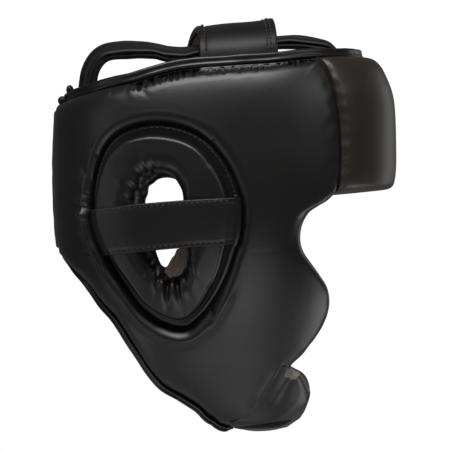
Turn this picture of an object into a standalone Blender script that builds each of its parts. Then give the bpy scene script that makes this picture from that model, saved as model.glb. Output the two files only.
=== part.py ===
"""Boxing headgear: padded side panels, forehead pad, ear rings, chin cup and crown straps.

Metres, +Z up. The wearer looks along -Y, and the wearer's right side is at -X. The origin is the
crown seat, the point on the underside of the crown strap that rests on top of the head.
Most pieces are drawn on one head form: a stack of oval plan sections. A place on it is a turn about
the vertical axis (0 at the front, 90 degrees at the ear, 180 at the nape), a height and a depth
below the form's outer surface.
"""
import math

import bpy
import numpy as np

# Overall sizes.
HALF_WIDTH = 0.106
FRONT_REACH = 0.133
REAR_REACH = 0.138
RIM_RISE = 0.130
JAW_DROP = 0.155
CROWN_ABOVE_RIM = 0.006
CROWN_RISE = RIM_RISE + CROWN_ABOVE_RIM
WIDEST_SETBACK = 0.010
FRONT_SQUARENESS = 2.2
REAR_SQUARENESS = 2.5

# Padding, straps and clearances.
SIDE_WALL = 0.026
NAPE_WALL = 0.017
JAW_WALL = 0.019
FOREHEAD_WALL = 0.028
EAR_PAD_WALL = 0.025
EAR_PAD_PROUD = 0.001
EAR_PAD_REACH = 0.076
EAR_SETBACK = 0.043
CLOSURE_WALL = 0.010
CLOSURE_DEPTH = 0.0045
CHIN_PAD_WALL = 0.020
CHIN_PAD_HALF_WIDTH = 0.047
CHIN_PAD_REAR_HALF_WIDTH = 0.0432
LINING_THICKNESS = 0.0015
STRAP_THICKNESS = 0.0025
EAR_STRAP_HEIGHT = 0.0335
CROWN_STRAP_WIDTH = 0.034
CROWN_STRAP_THICKNESS = 0.005
TOP_BAND_WIDTH = 0.059
TOP_BAND_THICKNESS = 0.0056
TOP_BAND_CLEAR = 0.019
RIM_BINDING_HEIGHT = 0.009
RIM_BINDING_THICKNESS = 0.007
RIM_BINDING_DEPTH = 0.012
NECK_BINDING_HEIGHT = 0.0052
NAPE_BINDING_HEIGHT = 0.0026
NECK_BINDING_THICKNESS = 0.009
NECK_BINDING_DEPTH = 0.0115
CLEARANCE = 0.0003

# Shares and powers that shape the walls, edges and ends.
NAPE_THINS_FROM = 112.0
NAPE_THINS_OVER = 46.0
JAW_THINS_FROM = 0.5
JAW_THINS_OVER = 0.45
FLAT_LEAST = 0.06
OVAL_SHARE = 0.93
SEAM_DROP = 0.003
SEAM_WIDTH = 0.006
CLOSURE_INSET = 0.004
BINDING_POWER = 0.75
NECK_BINDING_STOP = 0.7
NAPE_BINDING_SHARE = 0.28
NAPE_BINDING_BLEND = 0.2
CHIN_SIDE_SHARE = 0.35
CHIN_SIDE_POWER = 2.6
CHIN_END_POWER = 0.6
CHIN_FACE_POWER = 0.7
CHIN_NARROWS = 1.6
BAND_BOW = 1.8

# Mesh fineness: rays along each edge of a side panel, and round the ear pad.
RIM_RAYS = 16
SEAM_RAYS = 8
FACE_RAYS = 15
CHIN_RAYS = 4
NECK_RAYS = 14
NAPE_RAYS = 6
BROW_STEPS = 7
EAR_PAD_RAYS = 36
ROLL_STEPS = 2
BINDING_SIDES = 8
CHIN_SIDES = 18
CHIN_TRACE = 25
CROWN_TRACE = 40
BAND_TRACE = 27
BAND_POINTS = 6
TRACE_STEPS = 40
HALVINGS = 40
SHARP_DEGREES = 50.0
TINY = 1e-4

# Head form, a row for each level: height above ear level as a share of RIM_RISE, or below it of
# JAW_DROP, then the front, rear and side reach as shares of their greatest values.
LEVELS = (
    # up, front, rear, side
    (-1.06, 0.55, 0.69, 0.53),
    (-0.87, 0.62, 0.78, 0.63),
    (-0.645, 0.71, 0.865, 0.76),
    (-0.355, 0.81, 0.94, 0.915),
    (-0.065, 0.865, 0.985, 1.0),
    (0.19, 0.98, 1.0, 1.0),
    (0.46, 1.0, 1.0, 0.962),
    (0.77, 0.975, 0.98, 0.885),
    (1.05, 0.86, 0.905, 0.755),
    (1.25, 0.74, 0.81, 0.63),
)

# Outline of a side panel, edge by edge from the top of the nape round the front and back.
# Each row: turn in degrees, and height as in LEVELS.
RIM_EDGE = (
    (161.0, 0.715),
    (151.0, 0.735),
    (138.0, 0.765),
    (131.0, 0.785),
    (122.5, 0.81),
    (114.0, 0.832),
    (105.0, 0.875),
    (98.0, 0.903),
    (91.0, 0.922),
    (81.0, 0.937),
    (70.5, 0.952),
    (59.0, 0.976),
    (52.5, 0.985),
)
SEAM_EDGE = (
    (52.5, 0.985),
    (51.2, 0.846),
    (50.4, 0.70),
    (49.6, 0.50),
    (49.5, 0.34),
    (49.7, 0.25),
    (49.2, 0.178),
)
FACE_EDGE = (
    (49.2, 0.178),
    (50.8, 0.137),
    (54.1, 0.102),
    (57.1, 0.062),
    (58.3, 0.0),
    (58.3, -0.054),
    (57.4, -0.102),
    (55.3, -0.146),
    (51.1, -0.199),
    (46.4, -0.254),
    (41.9, -0.311),
    (39.2, -0.374),
    (38.4, -0.431),
    (39.1, -0.497),
    (43.0, -0.575),
    (47.8, -0.642),
    (53.6, -0.696),
    (56.5, -0.725),
)
CHIN_EDGE = (
    (56.5, -0.725),
    (60.7, -0.79),
    (64.8, -0.868),
    (71.9, -0.952),
    (79.9, -0.992),
)
NECK_EDGE = (
    (79.9, -0.992),
    (86.0, -0.983),
    (89.5, -0.95),
    (93.0, -0.895),
    (99.5, -0.838),
    (106.5, -0.787),
    (111.5, -0.712),
    (115.5, -0.635),
    (120.0, -0.548),
    (125.0, -0.458),
    (131.5, -0.385),
    (137.0, -0.312),
    (142.0, -0.264),
    (153.0, -0.193),
    (161.0, -0.147),
)
NAPE_EDGE = (
    (161.0, -0.147),
    (161.5, 0.0),
    (162.0, 0.25),
    (162.0, 0.5),
    (161.0, 0.715),
)
# Top of the forehead pad, from the left seam to the right one.
BROW_RIM = (
    (-52.5, 0.985),
    (-43.0, 0.992),
    (-25.0, 1.005),
    (0.0, 1.012),
    (25.0, 1.005),
    (43.0, 0.992),
    (52.5, 0.985),
)
FOREHEAD_HEM = 0.198
FOREHEAD_STATIONS = (0.0, 0.17, 0.35, 0.55, 0.75, 0.9, 0.97, 1.0)
CLOSURE_STATIONS = (0.0, 0.3, 0.6, 0.9, 1.0)

# How each edge of a side panel is rounded, as shares of the wall there (drops) and of SIDE_WALL
# (widths): drop and width of the outer round, drop and width of the inner one.
EDGES = (
    # edge, outer drop, outer width, inner drop, inner width, share of the outline's rays
    (RIM_EDGE, 0.31, 0.62, 0.25, 0.40, RIM_RAYS),
    (SEAM_EDGE, 0.12, 0.23, 0.08, 0.15, SEAM_RAYS),
    (FACE_EDGE, 0.42, 0.50, 0.40, 0.50, FACE_RAYS),
    (CHIN_EDGE, 0.38, 0.38, 0.30, 0.30, CHIN_RAYS),
    (NECK_EDGE, 0.38, 0.55, 0.26, 0.38, NECK_RAYS),
    (NAPE_EDGE, 0.30, 0.50, 0.24, 0.38, NAPE_RAYS),
)
EAR_HOLE_ROUND = (0.24, 0.30, 0.15, 0.22)
EAR_PAD_RIM_ROUND = (0.36, 0.46, 0.20, 0.30)
EAR_PAD_HOLE_ROUND = (0.44, 0.50, 0.34, 0.40)
FOREHEAD_HEM_ROUND = (0.25, 0.25, 0.12, 0.15)
FOREHEAD_CREST_ROUND = (0.28, 0.50, 0.22, 0.40)
CLOSURE_ROUND = (0.3, 0.10, 0.3, 0.10)

# Teardrop ear pad: direction from the ear's middle in degrees (0 forward, 90 up), then the reach of
# its outer edge and of its hole as shares of EAR_PAD_REACH.
TEARDROP = (
    # direction, outer edge, hole
    (0.0, 0.725, 0.20),
    (30.0, 0.785, 0.225),
    (50.0, 0.85, 0.29),
    (70.0, 0.935, 0.42),
    (90.0, 0.985, 0.505),
    (110.0, 1.015, 0.53),
    (125.0, 1.0, 0.48),
    (145.0, 0.875, 0.385),
    (165.0, 0.78, 0.335),
    (185.0, 0.72, 0.305),
    (207.0, 0.675, 0.28),
    (225.0, 0.70, 0.30),
    (240.0, 0.765, 0.35),
    (255.0, 0.885, 0.43),
    (268.0, 0.985, 0.54),
    (280.0, 1.035, 0.56),
    (290.0, 0.965, 0.51),
    (301.0, 0.875, 0.41),
    (316.0, 0.785, 0.29),
    (335.0, 0.72, 0.215),
)

# Ear strap: height of its middle at the rear and front end, and how deep its underside lies at a
# given distance from the ends, as shares of EAR_PAD_WALL.
EAR_STRAP_REAR = -0.075
EAR_STRAP_FRONT = 0.045
EAR_STRAP_DIP = (
    # distance, depth
    (0.0, 0.115),
    (0.08, 0.07),
    (0.2, 0.008),
    (0.36, -0.052),
)

# Chin cup section, front top to rear, as shares of FRONT_REACH forward and JAW_DROP up.
CHIN_PATH = (
    # forward, up
    (0.415, -0.74),
    (0.428, -0.83),
    (0.375, -0.935),
    (0.24, -0.966),
    (0.06, -0.963),
)
CHIN_SWEEP_BACK = 0.016
CHIN_SWEEP_UP = 0.006
CHIN_FULL = 0.72
CHIN_STATIONS = (0.0, 0.3, 0.6, 0.86, 0.97, 1.0)
LINING_STATIONS = (0.0, 0.3, 0.6)

# Crown strap, front end to rear end: forward reach as a share of FRONT_REACH or REAR_REACH, height
# above the crown seat, and roll in degrees.
CROWN_PATH = (
    # forward, rise, roll
    (0.684, -0.034, 0.0),
    (0.672, -0.022, 0.0),
    (0.654, -0.012, -2.0),
    (0.632, -0.0047, -6.0),
    (0.600, 0.0000, -11.0),
    (0.551, 0.0019, -14.0),
    (0.481, 0.0035, -16.0),
    (0.398, 0.0043, -15.0),
    (0.317, 0.0037, -14.0),
    (0.16, 0.0014, -14.0),
    (0.0, 0.0, -16.0),
    (-0.12, -0.0030, -18.0),
    (-0.232, -0.0058, -19.5),
    (-0.328, -0.0050, -20.0),
    (-0.385, -0.0030, -20.0),
    (-0.46, -0.0020, -22.5),
    (-0.537, -0.0018, -25.0),
    (-0.616, -0.0024, -26.0),
    (-0.665, -0.0036, -26.0),
    (-0.705, -0.0066, -26.0),
    (-0.740, -0.0120, -26.0),
    (-0.764, -0.0190, -25.0),
    (-0.774, -0.0258, -24.0),
    (-0.786, -0.0335, -20.0),
    (-0.825, -0.0450, -8.0),
    (-0.862, -0.0580, 0.0),
)

# Top band, end to crown: sideways reach as a share of HALF_WIDTH, height above the crown seat as a
# share of TOP_BAND_CLEAR.
BAND_PATH = (
    # aside, rise
    (0.578, -2.05),
    (0.565, -1.40),
    (0.548, -0.75),
    (0.515, 0.0),
    (0.440, 0.52),
    (0.320, 0.85),
    (0.165, 1.04),
    (0.0, 1.10),
)
BAND_FORWARD_RIGHT = 0.0125
BAND_FORWARD_MIDDLE = 0.0062
BAND_FORWARD_LEFT = -0.0100
BAND_TILT = 0.10
BAND_LOWER = 0.0021


def smooth(rows, key, column):
    """A cubic curve through one column of a table, read at a key in its first column."""
    keys = [row[0] for row in rows]
    if key <= keys[0]:
        return rows[0][column]
    if key >= keys[-1]:
        return rows[-1][column]
    first = max(i for i in range(len(rows) - 1) if keys[i] <= key)

    def slope(i):
        low = max(i - 1, 0)
        high = min(i + 1, len(rows) - 1)
        return (rows[high][column] - rows[low][column]) / (keys[high] - keys[low])

    span = keys[first + 1] - keys[first]
    t = (key - keys[first]) / span
    start, end = rows[first][column], rows[first + 1][column]
    blend = 3 * t ** 2 - 2 * t ** 3
    leave = (t ** 3 - 2 * t ** 2 + t) * span * slope(first)
    arrive = (t ** 3 - t ** 2) * span * slope(first + 1)
    return start + (end - start) * blend + leave + arrive


def trace(rows, count):
    """Points spaced evenly along a smooth line through rows of two or more columns."""
    points = np.array(rows, float)
    marks = np.concatenate(([0.0], np.cumsum(np.linalg.norm(np.diff(points, axis=0), axis=1))))
    table = [(mark, *point) for mark, point in zip(marks, points)]
    columns = range(1, points.shape[1] + 1)
    fine = np.linspace(0.0, marks[-1], TRACE_STEPS * len(rows))
    line = np.array([[smooth(table, mark, c) for c in columns] for mark in fine])
    reach = np.concatenate(([0.0], np.cumsum(np.linalg.norm(np.diff(line, axis=0), axis=1))))
    wanted = np.linspace(0.0, reach[-1], count)
    return np.array([np.interp(wanted, reach, line[:, c]) for c in range(line.shape[1])]).T


def both_ways(stations):
    """Stations from a middle at 0, carried on to the other side."""
    return [-station for station in reversed(stations[1:])] + list(stations)


def ease(value):
    """A smooth step from 0 to 1."""
    t = min(max(value, 0.0), 1.0)
    return t * t * (3 - 2 * t)


def height_of(up):
    """Height above ear level of a share of RIM_RISE or JAW_DROP."""
    return up * RIM_RISE if up > 0 else up * JAW_DROP


def share_of(height):
    """The share that height_of turns into this height."""
    return height / RIM_RISE if height > 0 else height / JAW_DROP


def form(turn, height):
    """A point of the head form, turn in radians and height above ear level."""
    up = share_of(height)
    front = smooth(LEVELS, up, 1) * FRONT_REACH + WIDEST_SETBACK
    rear = smooth(LEVELS, up, 2) * REAR_REACH - WIDEST_SETBACK
    side = smooth(LEVELS, up, 3) * HALF_WIDTH
    cosine, sine = math.cos(turn), math.sin(turn)
    power = 2 / (FRONT_SQUARENESS if cosine >= 0 else REAR_SQUARENESS)
    if cosine >= 0:
        y = WIDEST_SETBACK - front * cosine ** power
    else:
        y = WIDEST_SETBACK + rear * (-cosine) ** power
    x = -math.copysign(side * abs(sine) ** power, sine)
    return np.array((x, y, height))


def outward(turn, height):
    """The head form's outward unit normal."""
    around = form(turn + TINY, height) - form(turn - TINY, height)
    up = form(turn, height + TINY) - form(turn, height - TINY)
    normal = np.cross(around, up)
    normal /= np.linalg.norm(normal)
    point = form(turn, height)
    if normal[0] * point[0] + normal[1] * (point[1] - WIDEST_SETBACK) < 0:
        normal = -normal
    return normal


def skin(turn, height, depth):
    """A point at a depth below the head form, from the crown seat."""
    point = form(turn, height) - outward(turn, height) * depth
    return point - np.array((0.0, 0.0, CROWN_RISE))


def turn_at(y, height):
    """The turn at which the right side of the head form reaches a given y."""
    low, high = 0.0, math.pi
    for _ in range(HALVINGS):
        middle = (low + high) / 2
        if form(middle, height)[1] < y:
            low = middle
        else:
            high = middle
    return (low + high) / 2


def wall_at(turn, height):
    """Padding thickness of a side panel."""
    to_nape = ease((math.degrees(turn) - NAPE_THINS_FROM) / NAPE_THINS_OVER)
    to_jaw = ease((-share_of(height) - JAW_THINS_FROM) / JAW_THINS_OVER)
    wall = SIDE_WALL + (NAPE_WALL - SIDE_WALL) * to_nape
    return wall + (min(wall, JAW_WALL) - wall) * to_jaw


def mean_radius():
    """Length along the head form of one radian of turn, on average."""
    return (HALF_WIDTH + FRONT_REACH) / 2 * OVAL_SHARE


def teardrop(direction, column, inset=0.0):
    """A point, turn and height, on the teardrop in a direction given in degrees."""
    rows = [(a - 360.0, b, c) for a, b, c in TEARDROP] + list(TEARDROP)
    rows += [(a + 360.0, b, c) for a, b, c in TEARDROP]
    reach = smooth(rows, direction % 360.0, column) * EAR_PAD_REACH - inset
    angle = math.radians(direction)
    height = reach * math.sin(angle)
    return turn_at(EAR_SETBACK - reach * math.cos(angle), height), height


def rounding(kind, wall, length, steps, inner_edge, outer_edge):
    """Stations across a pad, from one edge to the other: distance from the first edge and drop."""
    pick = 0 if kind == "outer" else 2
    drop_a, width_a = inner_edge[pick] * wall, inner_edge[pick + 1] * SIDE_WALL
    drop_b, width_b = outer_edge[pick] * wall, outer_edge[pick + 1] * SIDE_WALL
    crowd = min(1.0, (1 - FLAT_LEAST) * length / (width_a + width_b))
    width_a, width_b = width_a * crowd, width_b * crowd
    stations = []
    for i in range(ROLL_STEPS + 1):
        angle = math.pi / 2 * i / ROLL_STEPS
        stations.append((width_a * (1 - math.cos(angle)), drop_a * (1 - math.sin(angle))))
    for i in range(1, steps):
        stations.append((width_a + (length - width_a - width_b) * i / steps, 0.0))
    for i in range(ROLL_STEPS, -1, -1):
        angle = math.pi / 2 * i / ROLL_STEPS
        stations.append((length - width_b * (1 - math.cos(angle)), drop_b * (1 - math.sin(angle))))
    return stations


def pad_loop(start, end, wall_of, base, inner_edge, outer_edge, steps):
    """One closed section of a pad between two places on the head form."""
    radius = mean_radius()
    length = math.hypot((end[0] - start[0]) * radius, end[1] - start[1])
    loop = []
    for kind in ("outer", "inner"):
        middle = ((start[0] + end[0]) / 2, (start[1] + end[1]) / 2)
        wall = wall_of(*middle)
        stations = rounding(kind, wall, length, steps, inner_edge, outer_edge)
        if kind == "inner":
            stations.reverse()
        for distance, drop in stations:
            share = distance / length
            turn = start[0] + (end[0] - start[0]) * share
            height = start[1] + (end[1] - start[1]) * share
            here = wall_of(turn, height)
            drop = drop * here / wall
            depth = base + drop if kind == "outer" else base + here - drop
            loop.append(skin(turn, height, depth))
    return loop


def new_mesh(name, points, faces):
    """An object with this mesh, its faces turned outwards and shaded smooth."""
    mesh = bpy.data.meshes.new(name)
    mesh.from_pydata([tuple(point) for point in points], [], faces)
    mesh.update()
    volume = 0.0
    corners = np.array([tuple(point) for point in points])
    centre = corners.mean(axis=0)
    for face in faces:
        for i in range(1, len(face) - 1):
            a, b, c = (corners[face[k]] - centre for k in (0, i, i + 1))
            volume += float(np.dot(a, np.cross(b, c)))
    if volume < 0:
        mesh.flip_normals()
    mesh.shade_smooth()
    mesh.set_sharp_from_angle(angle=math.radians(SHARP_DEGREES))
    return bpy.data.objects.new(name, mesh)


def loft(name, loops, closed):
    """A solid through closed sections, joined end to start if closed, else capped at both ends."""
    count = len(loops[0])
    points = [point for loop in loops for point in loop]
    faces = []
    rows = len(loops)
    for i in range(rows if closed else rows - 1):
        following = (i + 1) % rows
        for j in range(count):
            beside = (j + 1) % count
            faces.append((i * count + j, i * count + beside, following * count + beside,
                          following * count + j))
    if not closed:
        last = (rows - 1) * count
        for j in range(count // 2 - 1):
            rung = (j, j + 1, count - 2 - j, count - 1 - j)
            faces.append(tuple(reversed(rung)))
            faces.append(tuple(last + k for k in rung))
    return new_mesh(name, points, faces)


def mirrored(name, piece):
    """The same piece on the wearer's other side."""
    points = [(-v.co.x, v.co.y, v.co.z) for v in piece.data.vertices]
    faces = [tuple(reversed(face.vertices)) for face in piece.data.polygons]
    return new_mesh(name, points, faces)


def material(name, colour, roughness):
    """A leather or suede surface."""
    made = bpy.data.materials.new(name)
    made.use_nodes = True
    surface = made.node_tree.nodes["Principled BSDF"]
    surface.inputs["Base Color"].default_value = (*colour, 1.0)
    surface.inputs["Roughness"].default_value = roughness
    surface.inputs["Metallic"].default_value = 0.0
    return made


def place(piece, parts, finish):
    """Put a piece in the part's collection with its material."""
    parts.objects.link(piece)
    piece.data.materials.append(finish)
    return piece


def outline():
    """The side panel's outline: turn, height and edge rounding for each ray."""
    places, rounds = [], []
    for edge, *rounding_shares, rays in EDGES:
        for place in edge_line(edge, rays + 1)[:-1]:
            places.append(place)
            rounds.append(rounding_shares)
    rounds = np.array(rounds)
    softened = sum(np.roll(rounds, shift, axis=0) for shift in (-1, 0, 1))
    return places, softened / 3


def direction_of(turn, height):
    """Direction in degrees of a place on the head form, seen from the ear's middle."""
    middle = turn_at(EAR_SETBACK, 0.0)
    return math.degrees(math.atan2(height, (middle - turn) * mean_radius()))


def side_panel(name):
    """Padded side with temple, cheek and jaw, round a teardrop hole."""
    places, rounds = outline()
    loops = []
    for (turn, height), edge_round in zip(places, rounds):
        hole = teardrop(direction_of(turn, height), 1, -CLEARANCE)
        loops.append(pad_loop(hole, (turn, height), wall_at, 0.0, EAR_HOLE_ROUND, edge_round, 3))
    return loft(name, loops, True)


def ear_pad(name):
    """Puffy teardrop ring with an open middle."""
    loops = []
    for i in range(EAR_PAD_RAYS):
        direction = 360.0 * i / EAR_PAD_RAYS
        loops.append(pad_loop(teardrop(direction, 2), teardrop(direction, 1, 2 * CLEARANCE),
                              lambda turn, height: EAR_PAD_WALL, -EAR_PAD_PROUD,
                              EAR_PAD_HOLE_ROUND, EAR_PAD_RIM_ROUND, 2))
    return loft(name, loops, True)


def strap_end(height, front):
    """The turn at which a level line through the ear pad meets its edge."""
    directions = np.arange(-90.0, 90.0, 1.0) if front else np.arange(90.0, 270.0, 1.0)
    rim = [teardrop(direction, 1, CLEARANCE) for direction in directions]
    rim.sort(key=lambda place: place[1])
    return float(np.interp(height, [place[1] for place in rim], [place[0] for place in rim]))


def ear_strap(name):
    """Flat strap over the ear opening, with both ends tucked beside the pad."""
    lengthwise, across = 18, 4
    loops = []
    edges = []
    for j in range(across + 1):
        offset = EAR_STRAP_HEIGHT * (0.5 - j / across)
        rear = EAR_STRAP_REAR * EAR_PAD_REACH + offset
        front = EAR_STRAP_FRONT * EAR_PAD_REACH + offset
        edges.append(((strap_end(rear, False), rear), (strap_end(front, True), front)))
    for i in range(lengthwise + 1):
        share = 0.5 - 0.5 * math.cos(math.pi * i / lengthwise)
        top, bottom = [], []
        for (rear_turn, rear), (front_turn, front) in edges:
            turn = rear_turn + (front_turn - rear_turn) * share
            height = rear + (front - rear) * share
            length = abs(front_turn - rear_turn) * mean_radius()
            distance = min(share, 1 - share) * length / EAR_PAD_WALL
            depth = smooth(EAR_STRAP_DIP, distance, 1) * EAR_PAD_WALL
            bottom.append(skin(turn, height, depth))
            top.append(skin(turn, height, depth - STRAP_THICKNESS))
        loops.append(bottom + top[::-1])
    return loft(name, loops, False)


def seam_turn(height):
    """Turn of the forehead seam at a height, along the side panel's own facets."""
    line = sorted((up, turn) for turn, up in edge_line(SEAM_EDGE, SEAM_RAYS + 1))
    return float(np.interp(height, [up for up, turn in line], [turn for up, turn in line]))


def forehead_pad(name):
    """Thick pad between the two side panels, flat underneath."""
    gap = 2 * CLEARANCE / mean_radius()
    loops = []
    for across in both_ways(FOREHEAD_STATIONS):
        hem = height_of(FOREHEAD_HEM + (SEAM_EDGE[-1][1] - FOREHEAD_HEM) * across ** 2)
        crest = height_of(smooth(BROW_RIM, across * BROW_RIM[-1][0], 1))
        from_seam = (1 - abs(across)) * seam_turn(hem) * mean_radius()
        dip = 0.0
        if from_seam < SEAM_WIDTH:
            dip = SEAM_DROP * (1 - math.sqrt(1 - (1 - from_seam / SEAM_WIDTH) ** 2))
        loop = []
        length = crest - hem
        for kind in ("outer", "inner"):
            rows = rounding(kind, FOREHEAD_WALL, length, 4, FOREHEAD_HEM_ROUND,
                            FOREHEAD_CREST_ROUND)
            if kind == "inner":
                rows.reverse()
            for distance, drop in rows:
                height = hem + distance
                turn = across * (seam_turn(height) - gap)
                depth = drop + dip if kind == "outer" else FOREHEAD_WALL - drop - dip
                loop.append(skin(turn, height, depth))
        loops.append(loop)
    return loft(name, loops, False)


def rear_closure(name):
    """Plain panel between the side panels at the nape."""
    rows = sorted((height_of(up), math.radians(turn)) for turn, up in NAPE_EDGE)
    margin = (NAPE_BINDING_HEIGHT + 5 * CLEARANCE) / mean_radius()
    low, high = rows[0][0] + CLOSURE_INSET, rows[-1][0] - CLOSURE_INSET
    loops = []
    for across in both_ways(CLOSURE_STATIONS):
        loop = []
        for kind in ("outer", "inner"):
            stations = rounding(kind, CLOSURE_WALL, high - low, 5, CLOSURE_ROUND, CLOSURE_ROUND)
            if kind == "inner":
                stations.reverse()
            for distance, drop in stations:
                height = low + distance
                half = math.pi - smooth(rows, height, 1) - margin
                depth = CLOSURE_DEPTH + (drop if kind == "outer" else CLOSURE_WALL - drop)
                loop.append(skin(math.pi + across * half, height, depth))
        loops.append(loop)
    return loft(name, loops, False)


def signed_power(value, power):
    """A power of a value's size, with its sign kept."""
    return math.copysign(abs(value) ** power, value)


def binding(name, line, depth):
    """A rolled edge along rows of turn, height, band height and thickness."""
    loops = []
    for i, (turn, height, tall, thick) in enumerate(line):
        before, after = line[max(i - 1, 0)], line[min(i + 1, len(line) - 1)]
        centre = skin(turn, height, depth)
        along = skin(after[0], after[1], depth) - skin(before[0], before[1], depth)
        along /= np.linalg.norm(along)
        normal = outward(turn, height)
        across = np.cross(normal, along)
        across /= np.linalg.norm(across)
        normal = np.cross(along, across)
        loop = []
        for k in range(BINDING_SIDES):
            angle = 2 * math.pi * (k + 0.5) / BINDING_SIDES
            side = signed_power(math.cos(angle), BINDING_POWER) * tall / 2
            lift = signed_power(math.sin(angle), BINDING_POWER) * thick / 2
            loop.append(centre + across * side + normal * lift)
        loops.append(loop)
    return loft(name, loops, False)


def beside(line, distance_at):
    """A line moved sideways, to its left seen from outside the right side, on the head form."""
    moved = []
    radius = mean_radius()
    for i, (turn, height) in enumerate(line):
        before, after = line[max(i - 1, 0)], line[min(i + 1, len(line) - 1)]
        run = ((after[0] - before[0]) * radius, after[1] - before[1])
        size = math.hypot(*run)
        distance = distance_at(i / (len(line) - 1))
        moved.append((turn + run[1] / size * distance / radius, height - run[0] / size * distance))
    return moved


def edge_line(edge, count):
    """Evenly spaced turn and height pairs along an edge table."""
    rows = [(math.radians(turn) * mean_radius(), height_of(up)) for turn, up in edge]
    return [(turn / mean_radius(), height) for turn, height in trace(rows, count)]


def rim_binding(name):
    """Rolled edge round the open crown, from one side of the nape to the other."""
    right = edge_line(RIM_EDGE, RIM_RAYS + 1)[:-1]
    brow = edge_line(tuple(reversed(BROW_RIM)), 2 * BROW_STEPS + 1)
    whole = right + brow + [(-turn, height) for turn, height in reversed(right)]
    lift = RIM_BINDING_HEIGHT / 2 + CLEARANCE
    line = []
    for turn, height in beside(whole, lambda share: lift):
        line.append((turn, height, RIM_BINDING_HEIGHT, RIM_BINDING_THICKNESS))
    return binding(name, line, RIM_BINDING_DEPTH)


def neck_binding(name):
    """Rolled edge down the nape and along the jaw."""
    whole = edge_line(NECK_EDGE, NECK_RAYS + 1)[:-1] + edge_line(NAPE_EDGE, NAPE_RAYS + 1)
    end, before = whole[-1], whole[-2]
    whole[-1] = tuple(a + (b - a) * NECK_BINDING_STOP for a, b in zip(before, end))
    whole.reverse()

    def tall_at(share):
        grow = ease((share - NAPE_BINDING_SHARE) / NAPE_BINDING_BLEND)
        return NAPE_BINDING_HEIGHT + (NECK_BINDING_HEIGHT - NAPE_BINDING_HEIGHT) * grow

    moved = beside(whole, lambda share: -tall_at(share) / 2 - 2 * CLEARANCE)
    line = []
    for i, (turn, height) in enumerate(moved):
        line.append((turn, height, tall_at(i / (len(moved) - 1)), NECK_BINDING_THICKNESS))
    return binding(name, line, NECK_BINDING_DEPTH)


def chin_section(across):
    """Middle line of the chin cup's section and its normals towards the chin."""
    rows = [(-forward * FRONT_REACH, height_of(up) - CROWN_RISE) for forward, up in CHIN_PATH]
    line = trace(rows, CHIN_TRACE)
    line = line + np.array((CHIN_SWEEP_BACK, CHIN_SWEEP_UP)) * across ** 2
    along = np.gradient(line, axis=0)
    along /= np.linalg.norm(along, axis=1)[:, None]
    normals = np.stack((-along[:, 1], along[:, 0]), axis=1)
    return line, normals


def chin_point(across, along, offset):
    """A point of the chin cup: share across (-1 to 1), share along its section, offset inwards."""
    line, normals = chin_section(across)
    marks = np.arange(len(line))
    mark = along * marks[-1]
    spot = np.array([np.interp(mark, marks, line[:, c]) for c in (0, 1)])
    way = np.array([np.interp(mark, marks, normals[:, c]) for c in (0, 1)])
    spot = spot + way * offset
    narrowing = (CHIN_PAD_HALF_WIDTH - CHIN_PAD_REAR_HALF_WIDTH) * ease(along * CHIN_NARROWS)
    return np.array((across * (CHIN_PAD_HALF_WIDTH - narrowing), spot[0], spot[1]))


def chin_rounding(across):
    """Shares along the chin cup's section and the cup's half thickness there, once round."""
    taper = max(0.0, (abs(across) - CHIN_FULL) / (1 - CHIN_FULL))
    swell = math.sqrt(max(0.0, 1 - taper ** CHIN_SIDE_POWER))
    half = CHIN_PAD_WALL / 2 * (CHIN_SIDE_SHARE + (1 - CHIN_SIDE_SHARE) * swell)
    places = []
    for k in range(CHIN_SIDES):
        angle = 2 * math.pi * k / CHIN_SIDES
        cosine, sine = math.cos(angle), math.sin(angle)
        along = 0.5 + 0.5 * signed_power(cosine, CHIN_END_POWER)
        places.append((along, signed_power(sine, CHIN_FACE_POWER) * half))
    return places


def chin_pad(name):
    """Padded cup under and in front of the chin."""
    loops = []
    for across in both_ways(CHIN_STATIONS):
        loops.append([chin_point(across, along, lift) for along, lift in chin_rounding(across)])
    return loft(name, loops, False)


def chin_lining(name):
    """Suede facing on the inside of the chin cup."""
    loops = []
    for across in both_ways(LINING_STATIONS):
        inside = chin_rounding(across)[1:CHIN_SIDES // 2]
        near = [chin_point(across, along, lift + CLEARANCE) for along, lift in inside]
        over = CLEARANCE + LINING_THICKNESS
        far = [chin_point(across, along, lift + over) for along, lift in inside]
        loops.append(near + far[::-1])
    return loft(name, loops, False)


def crown_strap(name):
    """Strap over the crown from inside the brow to inside the nape."""
    rows = []
    rolls = []
    for forward, rise, roll in CROWN_PATH:
        y = -forward * (FRONT_REACH if forward > 0 else REAR_REACH)
        rows.append((y, rise + CROWN_STRAP_THICKNESS / 2))
        rolls.append((y, math.radians(roll)))
    line = trace(rows, CROWN_TRACE)
    along = np.gradient(line, axis=0)
    along /= np.linalg.norm(along, axis=1)[:, None]
    loops = []
    for (y, z), (run, climb) in zip(line, along):
        angle = smooth(rolls, y, 1)
        up = np.array((0.0, -climb, run))
        aside = np.array((1.0, 0.0, 0.0))
        wide = aside * math.cos(angle) - up * math.sin(angle)
        thick = up * math.cos(angle) + aside * math.sin(angle)
        centre = np.array((0.0, y, z))
        loop = []
        for side, lift in ((-1, -0.5), (-1, 0.5), (0, 0.5), (1, 0.5), (1, -0.5), (0, -0.5)):
            offset = wide * side * CROWN_STRAP_WIDTH / 2 + thick * lift * CROWN_STRAP_THICKNESS
            loop.append(centre + offset)
        loops.append(loop)
    return loft(name, loops, False)


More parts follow.
